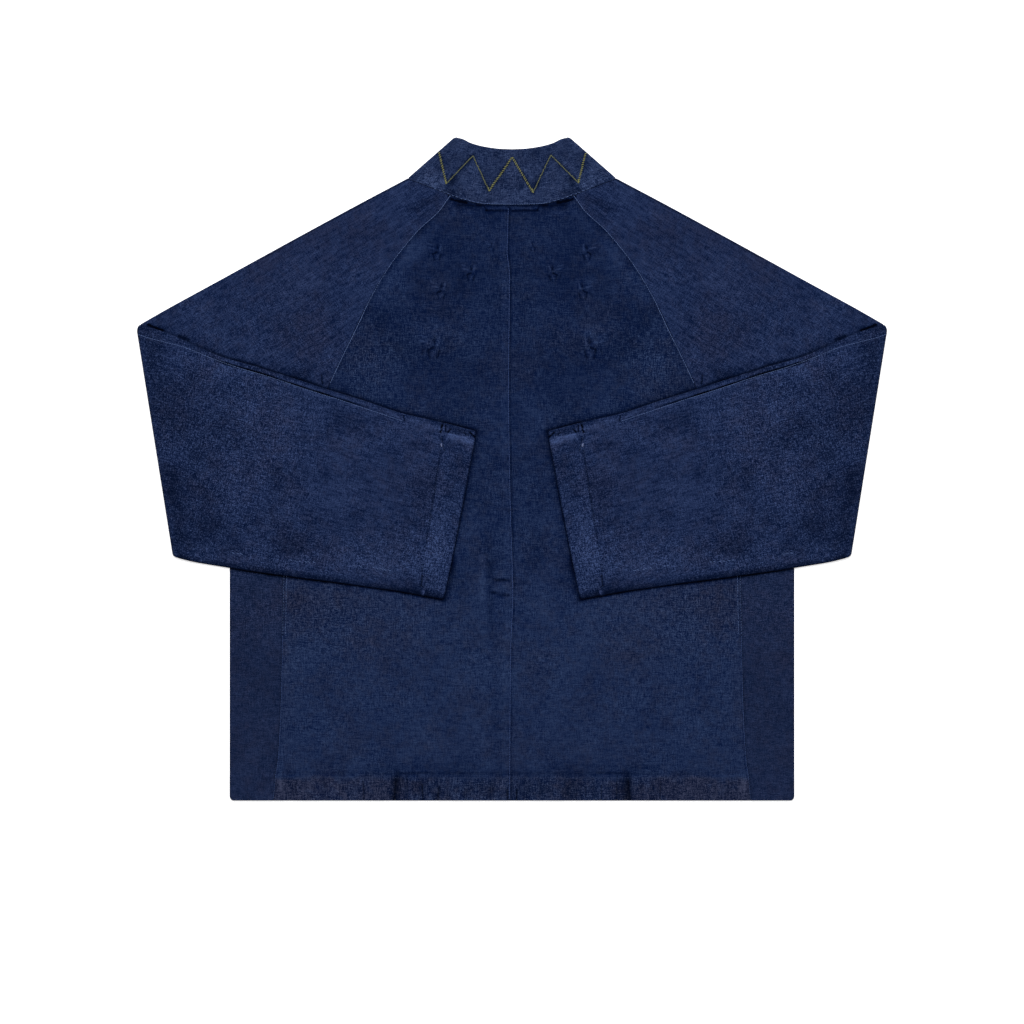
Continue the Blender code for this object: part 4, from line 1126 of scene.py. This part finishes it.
def sleeveShape(number):
    # every section of the tube: back and front lines on the table, end directions, heights and turn
    share, half, wall = foldShare(number), sleeveTop / 2, cloth["wall"]
    arms = [armholeLine(key, number) for key in ("back", "front")]
    overarm, underarm = unit(foldTop - arms[0][0]), unit(foldBottom - arms[0][-1])
    lowerEnds = [np.array([-overarm[1], overarm[0]]), np.array([underarm[1], -underarm[0]])]
    foldEnds = [foldWay, -foldWay]

    def across(top, bottom, ends, thick):
        start, stop = top - ends[0] * thick / 2, bottom - ends[1] * thick / 2
        return start * (1.0 - share[:, None]) + stop * share[:, None]

    foldLine = across(foldTop, foldBottom, foldEnds, sleeveTop)
    sections = []
    lowerLength = 0.5 * (np.linalg.norm(foldTop - arms[0][0]) + np.linalg.norm(foldBottom - arms[0][-1]))
    for step in stations(0.0, 1.0, sleeveLook["ringStep"] * 1.2 / lowerLength, [0.0, 1.0], 0.002, 0.03):
        ends = [unit(a * (1 - step) + b * step) for a, b in zip(lowerEnds, foldEnds)]
        bow = smoothThrough(*sleeve["bow"].T, step) * (1 - smoothStep(share, 0.0, sleeve["bowReach"]))[:, None]
        lines = []
        for arm in arms:
            line = arm.copy()
            line[0], line[-1] = arm[0] - lowerEnds[0] * half, arm[-1] - lowerEnds[1] * half
            lines.append(line * (1 - step) + foldLine * step + ends[0] * bow)
        sections.append(dict(back=lines[0], front=lines[1], ends=ends, turn=0.0, zone="lower", backZ=sleeveTop,
                             frontZ=0.0, wall=wall, gone=-(1.0 - step) * lowerLength))
    for turn in np.linspace(0.0, np.pi, sleeveLook["foldSteps"] + 1)[1:]:
        sections.append(dict(back=foldLine, front=foldLine, ends=foldEnds, turn=turn, zone="fold",
                             backZ=sleeveTop, frontZ=0.0, wall=wall, gone=0.0, rimGap=9.0))
    keys = lengthKeys(sleeve["top"])
    cuffKey = keys[sleeve["cuffRow"]]
    at = stations(0.0, keys[-1], sleeveLook["ringStep"], [cuffKey, keys[-1]], 0.5, 8.0)[1:]
    top, bottom = (follow(keys, sleeve[key], at) for key in ("top", "bottom"))
    for topAt, bottomAt, gone, *ends in zip(top, bottom, at, lineNormals(top), -lineNormals(bottom)):
        cuff = float(smoothStep(gone, cuffKey, cuffKey + 3.0))
        landed = float(smoothStep(gone, 0.0, sleeve["landing"]))
        wall = cloth["wall"] + (cloth["hemWall"] - cloth["wall"]) * cuff
        thick = 2 * wall + ((sleeveTop - 2 * cloth["wall"]) * (1 - cuff) + sleeve["cuffOpening"] * cuff)
        line = across(topAt, bottomAt, ends, thick)
        line[:, 0] -= sleeve["cuffBow"] * cuff * np.sin(np.pi * share)
        resting = np.maximum(backTop(line[:, 0], line[:, 1]), sleeveTop) + sleeve["restGap"]
        low = resting * landed + (2 * foldZ - sleeveTop) * (1 - landed)
        high = low + thick + sleeve["dome"] * landed * (1 - cuff) * np.sin(np.pi * share) ** 0.7
        sections.append(dict(back=line, front=line, ends=ends, turn=np.pi, zone="upper", backZ=2 * foldZ - low,
                             frontZ=2 * foldZ - high, wall=wall, gone=gone, rimGap=at[-1] - gone))
    return sections, share


def sleeveBrown(out, up):  # faint brown patches
    return np.clip(0.03 + hills(-out, up, (0.20, 44.0, 175), (0.10, 17.0, 176)), 0.0, 0.3)


def shoulderFace(out, up, share, gone, past, side):  # the lower half's upper face, armhole to fold
    height, tone = readMarks(out, up, side, shoulderMarks, 125 + side)
    height += softCloth(out * side, up, 121 + side) + 0.24 * seamPucker(past, up, 131, reach=9.0)
    height -= 0.30 * bell(past, 0.8)
    paler, fuzzier = readPatches(out, up, shoulderPatches)
    # painted shade at the armhole seam's joint, and the wide part of the painted shadow beside the folded half
    gap, depth, sharp, soft = restShadow(out, up)
    tone += 0.06 - 0.15 * bell(past, 0.7) + paler - soft
    tone += hills(-out, up, (0.06, 32.0, 133), (0.05, 13.0, 134))
    fade = smoothStep(share, 0.0, 0.03) * smoothStep(1.0 - share, 0.0, 0.03) * smoothStep(-gone, 0.0, 18.0)
    wear = 0.84 + hills(-out, up, (0.20, 36.0, 171), (0.16, 16.0, 172)) + fuzzier
    return dict(height=np.clip(height, -0.85, 0.45) * fade, tone=tone, wear=wear, brown=sleeveBrown(out, up),
                gap=gap, depth=depth, sharp=sharp, drawX=out + zoneShift["shoulder"], drawY=up,
                draw=smoothStep(-gone, 0.5, 3.0))


def underFace(out, up, share, gone, side):  # the lower layer's face on the table, raised here and there
    crease, tone = readMarks(out, up, side, sleeveUnderMarks, 135 + side)
    fade = smoothStep(share, 0.0, 0.05) * smoothStep(1.0 - share, 0.0, 0.05) * smoothStep(-gone, 0.0, 22.0)
    rise = np.clip(softCloth(out * side, up, 137 + side) + crease, 0.0, 0.4) * fade
    return dict(height=-rise, tone=tone + 0.08 * softHills(out * side, up, 32.0, 139))


def foldedWear(out, up, gone):  # the folded half is fuzzier near the fold and on the cuff
    wear = 0.92 + 0.45 * (1.0 - smoothStep(gone, 110.0, 240.0)) + 0.12 * smoothStep(gone, 305.0, 325.0)
    wear = wear + 0.40 * smoothStep(gone, 355.0, 361.0) + readPatches(out, up, foldedPatches)[1]
    return wear + hills(-out, up, (0.25, 34.0, 173), (0.18, 14.0, 174))


def foldedFace(out, up, share, gone, width, rimGap, side):  # the folded half's upper face
    height, tone = readMarks(out, up, side, foldedMarks, 145 + side)
    height += 1.25 * softCloth(out * side, up, 141 + side)
    edge, under, ridge = share * width, (1.0 - share) * width, sleeveLook["ridgeWidth"]
    run = smoothStep(gone, 6.0, 60.0) * (1.0 - smoothStep(gone, 308.0, 313.0))  # the overarm seam's ridge
    deep = 0.06 + 0.94 * smoothStep(gone, 84.0, 112.0) - 0.92 * smoothStep(gone, 238.0, 282.0)
    uneven = deep * (0.85 + 0.45 * softHills(gone, edge * 0.1, 17.0, 151))
    early = 1.0 - smoothStep(gone, 125.0, 175.0)
    groove = bell(edge - ridge + 0.5 * early, 1.25 + 0.5 * early)
    strip = bell(edge - 0.45 * ridge, 2.2)
    height += run * (sleeveLook["ridgeRise"] * strip - sleeveLook["ridgeGroove"] * groove * uneven)
    # the overarm seam's raised strip is painted paler, as light on it, and the groove beside it darker, as
    # shade; then a paler line along the stitching
    tone += run * (0.24 * strip * smoothStep(gone, 150.0, 200.0) - 1.50 * groove * uneven)
    tone += run * 0.58 * bell(edge - 7.6, 1.5) * uneven + readPatches(out, up, foldedPatches)[0]
    height += 0.25 * run * seamPucker(edge - ridge, gone, 153, reach=6.0)
    height -= 0.22 * bell(under - sleeveLook["underarmLine"], 1.0)
    height += 0.16 * seamPucker(under - sleeveLook["underarmLine"], gone, 157, reach=7.0)
    # painted shade along the folded half's top and bottom edges and the cuff's edge, where the cloth turns
    # down, and near the fold
    tone -= 0.12 * bell(edge, 1.3) + 0.48 * bell(under, 4.6) + 0.45 * bell(rimGap, 1.3)
    tone += hills(-out, up, (0.11, 36.0, 161), (0.12, 15.0, 162)) - 0.20 * (1.0 - smoothStep(gone, 0.0, 26.0))
    fade = smoothStep(share, 0.0, 0.012) * smoothStep(1.0 - share, 0.0, 0.03) * smoothStep(gone, 0.0, 16.0)
    return dict(height=np.clip(height, -0.85, 0.6) * fade, tone=tone, wear=foldedWear(out, up, gone),
                brown=0.5 * sleeveBrown(out, up), drawX=out + zoneShift["folded"], drawY=up,
                draw=smoothStep(gone, 8.0, 12.0))


def foldFace(out, up, gone, turn):  # painted shade: a little darker round the fold's edge, most halfway round the turn
    return dict(tone=hills(-out, up, (0.11, 36.0, 161), (0.10, 15.0, 162)) - 0.20 - 0.12 * np.sin(turn),
                wear=foldedWear(out, up, gone))


def unfolded(flat, turn, radius):
    # a point's place on the sleeve before it was folded across: past the fold it is mirrored back
    # out, and a layer that runs round the fold at a radius takes that much more cloth
    inside = (foldTop - flat) @ foldOut
    return flat + foldOut * (2.0 * inside * (turn == np.pi) + radius * turn)[:, None]


def makeSleeve(side):
    # rings of a flat tube, each turned about the fold across the sleeve: a point that is reach
    # below the fold's axis goes to place + foldOut reach sin(turn) and z = axis - reach cos(turn)
    name, number = sided("sleeve", side), sleeveColumns()
    sections, share = sleeveShape(number)
    count, bend = len(number), sleeveLook["bendSteps"]
    steps = np.linspace(0.0, np.pi, bend + 2)[1:-1]
    armLine = sections[0]["back"]
    foldedLine = next(part["back"] for part in sections if part["zone"] == "fold")
    drift = unit(foldedLine - armLine) * (cloth["lap"] * (-1.0 + 2.3 * smoothStep(number, 1.8, 2.3)))[:, None]
    rings = {key: [] for key in ("outer", "inner", "place", "otherPlace", *faceKeys)}
    for section in sections:
        back, front, ends = section["back"], section["front"], section["ends"]
        turn, zone, wall = section["turn"], section["zone"], section["wall"]
        gone, past = np.full(count, section["gone"]), section["gone"] - sections[0]["gone"]
        upper, lower = ({key: np.full(count, float(key == "wear")) for key in ("height", *faceKeys)}
                        for _ in range(2))
        if zone == "lower":
            upper.update(shoulderFace(*back.T, share, gone, past, side))
            lower.update(underFace(*front.T, share, gone, side))
            rim = 0.6 * float(softEdge(np.array(past), 0.5))
        else:
            rim = float(softEdge(np.array(section["rimGap"]), wall / 2))
            if zone == "fold":
                lower.update(foldFace(*front.T, gone, turn))
            else:
                width = np.linalg.norm(back[-1] - back[0])
                lower.update(foldedFace(*front.T, share, gone, width, section["rimGap"], side))
        for key, inset in (("inner", wall), ("outer", 0.0)):
            push = -rim if inset else rim
            shift = drift * (1 - past / 3) if inset and past < 3.0 else 0.0 * drift
            backZ = section["backZ"] - inset - push + upper["height"]
            frontZ = section["frontZ"] + inset + push - lower["height"]
            caps = []  # round the tube's two ends, from layer to layer
            for i, sign in ((0, -1.0), (-1, 1.0)):
                middle, radius = (backZ[i] + frontZ[i]) / 2, (backZ[i] - frontZ[i]) / 2
                caps.append(((back + shift)[i] + ends[i] * (radius * np.sin(steps))[:, None],
                             middle + sign * radius * np.cos(steps), radius))
            (overFlat, overLevel, overRadius), (underFlat, underLevel, underRadius) = caps
            reach = foldZ - np.concatenate([backZ, underLevel, frontZ[::-1], overLevel])
            flat = np.concatenate([back + shift, underFlat, (front + shift)[::-1], overFlat])
            place = flat + foldOut * (reach * np.sin(turn))[:, None]
            rings[key].append(np.column_stack([place, foldZ - reach * np.cos(turn)]))
        for key, line, under, over, radius in (("place", back, steps, steps[::-1], sleeve["foldRadius"]),
                                               ("otherPlace", front, steps[::-1], steps, foldZ)):
            cut = np.concatenate([back, line[-1] + ends[1] * (underRadius * under)[:, None],
                                  front[::-1], line[0] + ends[0] * (overRadius * over)[:, None]])
            rings[key].append(unfolded(cut, turn, radius))
        for key in faceKeys:
            # on the folded half the arc round the underarm edge is painted a little darker than the face
            # beside it, as shade
            underArc = lower[key][-1] - 0.15 if key == "tone" and zone != "lower" else upper[key][-1]
            overArc = (lower if key in ("tone", "wear") else upper)[key][0]
            rings[key].append(np.concatenate([upper[key], np.full(bend, underArc), lower[key][::-1],
                                              np.full(bend, overArc)]))
    rings = {key: np.array(value) for key, value in rings.items()}
    tops, bottoms = sleeve["top"], sleeve["bottom"]
    cuffWay = unit(bottoms[-1] - tops[-1])
    for key in ("outer", "inner"):
        for corner, wayA, wayB, radius in (
                (foldTop + foldOut * foldZ, unit(armLine[0] - foldTop), -foldWay, "elbowRound"),
                (foldBottom + foldOut * foldZ, unit(armLine[-1] - foldBottom), foldWay, "underRound"),
                (tops[-1], unit(tops[-2] - tops[-1]), cuffWay, "cuffRound"),
                (bottoms[-1], unit(bottoms[-2] - bottoms[-1]), -cuffWay, "cuffRound")):
            roundCorner(rings[key], corner, wayA, wayB, sleeveLook[radius])
    piece = clothWall(name + "_cloth", rings["outer"], rings["inner"], rings["place"],
                      {key: rings[key] for key in faceKeys}, sleeveDenim, side, closed=True,
                      otherPlace=rings["otherPlace"] + (layerShift, 0.0),
                      otherSpans=(count + bend // 2, 2 * count + bend + bend // 2))
    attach(piece, "root")
    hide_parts(name)
    return piece


sleevePieces = [makeSleeve(side) for side in (-1, 1)]
print("sleeves ready")


# Sewing thread: rows of small stitches, half sunk in the cloth below them

stitchLooks = {
    "seam": dict(pitch=2.7, length=2.75, radius=0.32, slant=0.05, jitter=0.12, drift=0.06),
    "ditch": dict(pitch=2.6, length=2.5, radius=0.25, slant=0.04, jitter=0.12, drift=0.05),
    "neck": dict(pitch=4.6, length=2.8, radius=0.27, slant=0.12, jitter=0.45, drift=0.14),
    "loose": dict(pitch=4.6, length=3.2, radius=0.30, slant=0.55, jitter=0.60, drift=0.30),
    "hem": dict(pitch=3.2, length=2.4, radius=0.20, slant=0.05, jitter=0.15, drift=0.08),
    "whip": dict(pitch=2.35, length=1.9, radius=0.68, slant=1.15, jitter=0.14, drift=0.12),
    "chain": dict(pitch=1.9, length=2.0, radius=0.68, slant=0.30, jitter=0.12, drift=0.16),
    "knot": dict(pitch=1.2, length=2.6, radius=0.60, slant=0.20, jitter=0.10, drift=0.25),
}
stitchParts = np.array([-1.0, -0.62, 0.0, 0.62, 1.0])
stitchSwell = np.array([0.45, 0.92, 1.0, 0.92, 0.45])
stitchLift = np.array([-0.35, 0.45, 0.7, 0.45, -0.35])
ringPoints = 6


def clothHeights(pieces, places, fromBelow):  # where a line from above, or below, meets the cloth
    depsgraph = bpy.context.evaluated_depsgraph_get()
    start, way = (-0.01, 1.0) if fromBelow else (0.05, -1.0)
    trees = [BVHTree.FromObject(piece, depsgraph) for piece in pieces]
    heights = []
    for x, up in places:
        hits = [tree.ray_cast((x * mm, (up + hemLine) * mm, start), (0.0, 0.0, way))[0] for tree in trees]
        levels = [hit.z / mm for hit in hits if hit is not None]
        heights.append((min(levels) if fromBelow else max(levels)) if levels else np.nan)
    return np.array(heights)


def sewRow(path, look, seed):  # five centre points for each stitch along a path, and its swelling
    random, keys = np.random.default_rng(seed), lengthKeys(path)
    count = max(int(keys[-1] / look["pitch"]), 1)
    at = (np.arange(count) + 0.5) * keys[-1] / count + random.normal(0.0, look["jitter"], count)
    reach = at[:, None] + stitchParts * look["length"] * random.uniform(0.85, 1.1, count)[:, None] / 2
    centres, start, end = (pair(*(np.interp(where, keys, values) for values in path.T))
                           for where in (reach, at - 0.6, at + 0.6))
    ways = unit(end - start)
    offset = look["slant"] * stitchParts + random.normal(0.0, look["drift"], count)[:, None]
    centres += offset[..., None] * pair(ways[:, 1], -ways[:, 0])[:, None]
    return centres, random.uniform(0.88, 1.12, count)


def sew(name, rows, lookKey, pieces, thread, seed, fromBelow=False):
    # each stitch is a tube of five rings: centre + r cos(angle) sideways + r sin(angle) upwards
    look = stitchLooks[lookKey]
    made = [sewRow(path, look, seed + i) for i, path in enumerate(rows)]
    centres, swell = (np.concatenate(part) for part in zip(*made))
    level = clothHeights(pieces, centres.reshape(-1, 2), fromBelow).reshape(centres.shape[:2])
    keep = ~np.isnan(level).any(axis=1)
    centres, swell, level = centres[keep], swell[keep], level[keep]
    radius = (look["radius"] * swell[:, None] * stitchSwell)[..., None]
    away = -1.0 if fromBelow else 1.0
    level = np.median(level, axis=1, keepdims=True) * 0.5 + level * 0.5 + away * look["radius"] * stitchLift
    if fromBelow:
        level = np.maximum(level, 1.3 * look["radius"])  # no thread reaches through the table
    ways = unit(centres[:, -1] - centres[:, 0])[:, None, None]
    angle = np.linspace(0.0, 2 * np.pi, ringPoints + 1)[:-1]
    ring = radius * np.cos(angle)
    points = np.stack([centres[..., None, 0] + ring * ways[..., 1],
                       centres[..., None, 1] - ring * ways[..., 0],
                       level[..., None] + radius * np.sin(angle)], axis=-1)
    caps = [[0, 3, 2, 1], [0, 5, 4, 3], [24, 25, 26, 27], [24, 27, 28, 29]]
    one = np.concatenate([gridFaces(len(stitchParts), ringPoints, 0, True), caps])
    quads = (np.arange(len(centres))[:, None, None] * len(stitchParts) * ringPoints + one).reshape(-1, 4)
    piece = fillMesh(name, toFrame(points, 1).reshape(-1, 3), quads, None, {}, threads[thread])
    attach(piece, "root")
    return piece


def curve(points, step=1.0):  # a smooth path through given points
    keys = lengthKeys(points)
    return follow(keys, points, np.linspace(0.0, keys[-1], max(int(keys[-1] / step), 2) + 1))


threadPaths = {
    "raglan": [(70, 687.3), (83.5, 668.9), (105.1, 649.1), (119.9, 632.2), (137.9, 609), (160.9, 570.1),
               (175.2, 539.5), (190.7, 508.1), (206.6, 474)],
    "overarm": [(424.2, 529.1), (415.1, 526), (372.4, 514.7), (336, 500.3), (307, 490.3), (281.2, 482.7),
                (231, 466), (194.8, 454.6), (160, 443), (124, 430.8)],
    "underarm": [(320, 281.7), (283.3, 277.1), (227.7, 270.7), (168.6, 265.7), (135.7, 261)],
    "cuffEnd": [(99, 253), (75, 247.5)],
    "cuff": [(79.6, 424), (80.4, 412), (76.6, 396)],
}
# where the underarm seam's thread shows, from and to, by out
underarmRuns = [(305.0, 320.0), (222.0, 254.0), (168.0, 182.0), (136.0, 160.0)]
cuffKnot = [np.array([(80.4, 405.6), (80.0, 401.6)]), np.array([(81.2, 403.9), (79.4, 403.0)])]
frontPaths = {  # seams on the side that rests: front to sleeve, to side panel and to band, and the hem
    "raglan": seams["front"][:armholeRows],
    "side": seams["front"][armholeRows - 1:-1],
    "band": seams["band"][:-1] + (3.0, 0.0),
    "hem": [(68.0, hemSeamUp), (160.0, hemSeamUp), (264.0, hemSeamUp)],
}


def sewGarment():
    both = (-1.0, 1.0)
    backSeam = seamLine("back", np.linspace(underarmKey, seamEnd - 2.0, 260))
    worn = backSeam[:, 1] > 188.0
    centreUps = np.linspace(673.0, 2.0, 600)
    paths = {key: curve(points) for key, points in threadPaths.items()}
    underarm = [paths["underarm"][(paths["underarm"][:, 0] > low) & (paths["underarm"][:, 0] < high)]
                for low, high in underarmRuns]
    neckLine = curve(neck["sewn"])[:-6]
    corners = zigzag["corners"]
    legs = [[np.linspace(*corners[i:i + 2], 40) for i, isHeavy in enumerate(zigzag["heavy"])
             if isHeavy == heavy] for heavy in (True, False)]
    hem = [pair(np.linspace(*ends, 200), np.full(200, hemSeamUp)) for ends in ((-266.0, -4.0), (4.0, 266.0))]
    sideTop = [(backSeam[worn] - (inset, 0)) * (s, 1) for s in both for inset in (0.0, 3.2)]
    sew("raglan_stitches", [paths["raglan"] * (s, 1) for s in both], "seam", backPieces + sleevePieces,
        "pale", 301)
    sew("centre_stitches", [pair(centreX(centreUps), centreUps)], "seam", backPieces, "soft", 311)
    sew("side_stitches", [backSeam[~worn] * (s, 1) for s in both], "ditch", backPieces + sidePieces,
        "soft", 321)
    sew("side_top_stitches", sideTop, "hem", backPieces + sidePieces, "pale", 323)
    sew("hem_stitches", hem, "hem", backPieces, "dull", 331)
    for s, piece in zip((-1, 1), sleevePieces):
        for stem, lines, look, thread, seed in (
                ("overarm_stitches", [paths["overarm"]], "ditch", "pale", 341),
                ("underarm_stitches", underarm, "loose", "pale", 343),
                ("cuff_stitches", [paths["cuffEnd"], paths["cuff"]], "hem", "dull", 345),
                ("cuff_knot", cuffKnot, "knot", "bright", 347)):
            sew(sided(stem, s), [line * (s, 1) for line in lines], look, [piece], thread, seed + s)
    neckSides = [neckLine[neckLine[:, 0] > 36.0] * (s, 1) + (0, 0.9) for s in both]
    neckMiddle = [neckLine[neckLine[:, 0] < 38.0] * (s, 1) + (0, 0.7) for s in both]
    knots = [corner + np.array([(-0.8, 4.2), (0.2, -0.6)]) for corner in corners[1::2]]
    for name, lines, look, thread, seed in (
            ("neck_stitches", neckSides, "neck", "pale", 351),
            ("neck_middle_stitches", neckMiddle, "ditch", "pale", 353),
            ("zigzag_whip", legs[0], "whip", "ochre", 361),
            ("zigzag_chain", legs[1], "chain", "olive", 361),
            ("zigzag_knots", knots, "knot", "ochre", 371)):
        sew(name, lines, look, [collarPiece], thread, seed)
    for key, points in frontPaths.items():
        sew("front_%s_stitches" % key, [curve(points) * (s, 1) for s in both], "hem", frontPieces, "pale", 381,
            fromBelow=True)


sewGarment()
print("stitches ready")


# Floor, light and camera

studio = dict(photoWidth=1163.0,  # what the photograph's frame spans at the cloth, in mm
              photoCentreUp=-48.8, lens=135.0, sensor=36.0, clothHeight=4.0, floorSize=9.0, skyLight=0.34,
              overhead=72.0, overheadPlace=(0.0, 0.9, 2.7), overheadSize=1.3)


def makeFloor():  # a plain white table top, lit so that it stays pale round the cloth
    half = studio["floorSize"] / 2
    mesh = bpy.data.meshes.new("floor")
    corners = [(-half, -half, 0), (half, -half, 0), (half, half, 0), (-half, half, 0)]
    mesh.from_pydata(corners, [], [(0, 1, 2, 3)])
    n = Nodes("floor_white")
    speck = n.add("TexNoise", {"Vector": n.add("TexCoord", output=3), "Scale": 40.0, "Detail": 3.0})
    n.wire(n.shader, {"Base Color": n.mix(speck, (0.93, 0.93, 0.93, 1), (0.97, 0.97, 0.97, 1)),
                      "Roughness": 0.9, "Emission Color": white, "Emission Strength": 0.55})
    mesh.materials.append(n.material)
    show("floor", mesh)


def makeLights():
    world = bpy.data.worlds.new("studio")
    bpy.context.scene.world = world
    world.use_nodes = True
    sky = world.node_tree.nodes["Background"].inputs
    sky["Color"].default_value, sky["Strength"].default_value = white, studio["skyLight"]
    data = bpy.data.lights.new("overhead", "AREA")
    data.energy, data.size = studio["overhead"], studio["overheadSize"]
    light = show("overhead", data)
    light.location = studio["overheadPlace"]
    x, y, z = studio["overheadPlace"]  # it is turned so that it shines at the origin
    light.rotation_euler = (float(np.arctan2(np.hypot(x, y), z)), 0.0, float(np.arctan2(-y, -x) - np.pi / 2))


def makeCamera():  # straight above, far off with a long lens, as the garment was photographed
    data = bpy.data.cameras.new("camera")
    data.lens, data.sensor_width, data.clip_end = studio["lens"], studio["sensor"], 50.0
    distance = studio["photoWidth"] * studio["lens"] / studio["sensor"]
    camera = show("camera", data)
    camera.location = (0.0, studio["photoCentreUp"] * mm, (distance + studio["clothHeight"]) * mm)
    bpy.context.scene.camera = camera
    bpy.context.scene.view_settings.view_transform = "Standard"


makeFloor()
makeLights()
makeCamera()
print("stage ready")
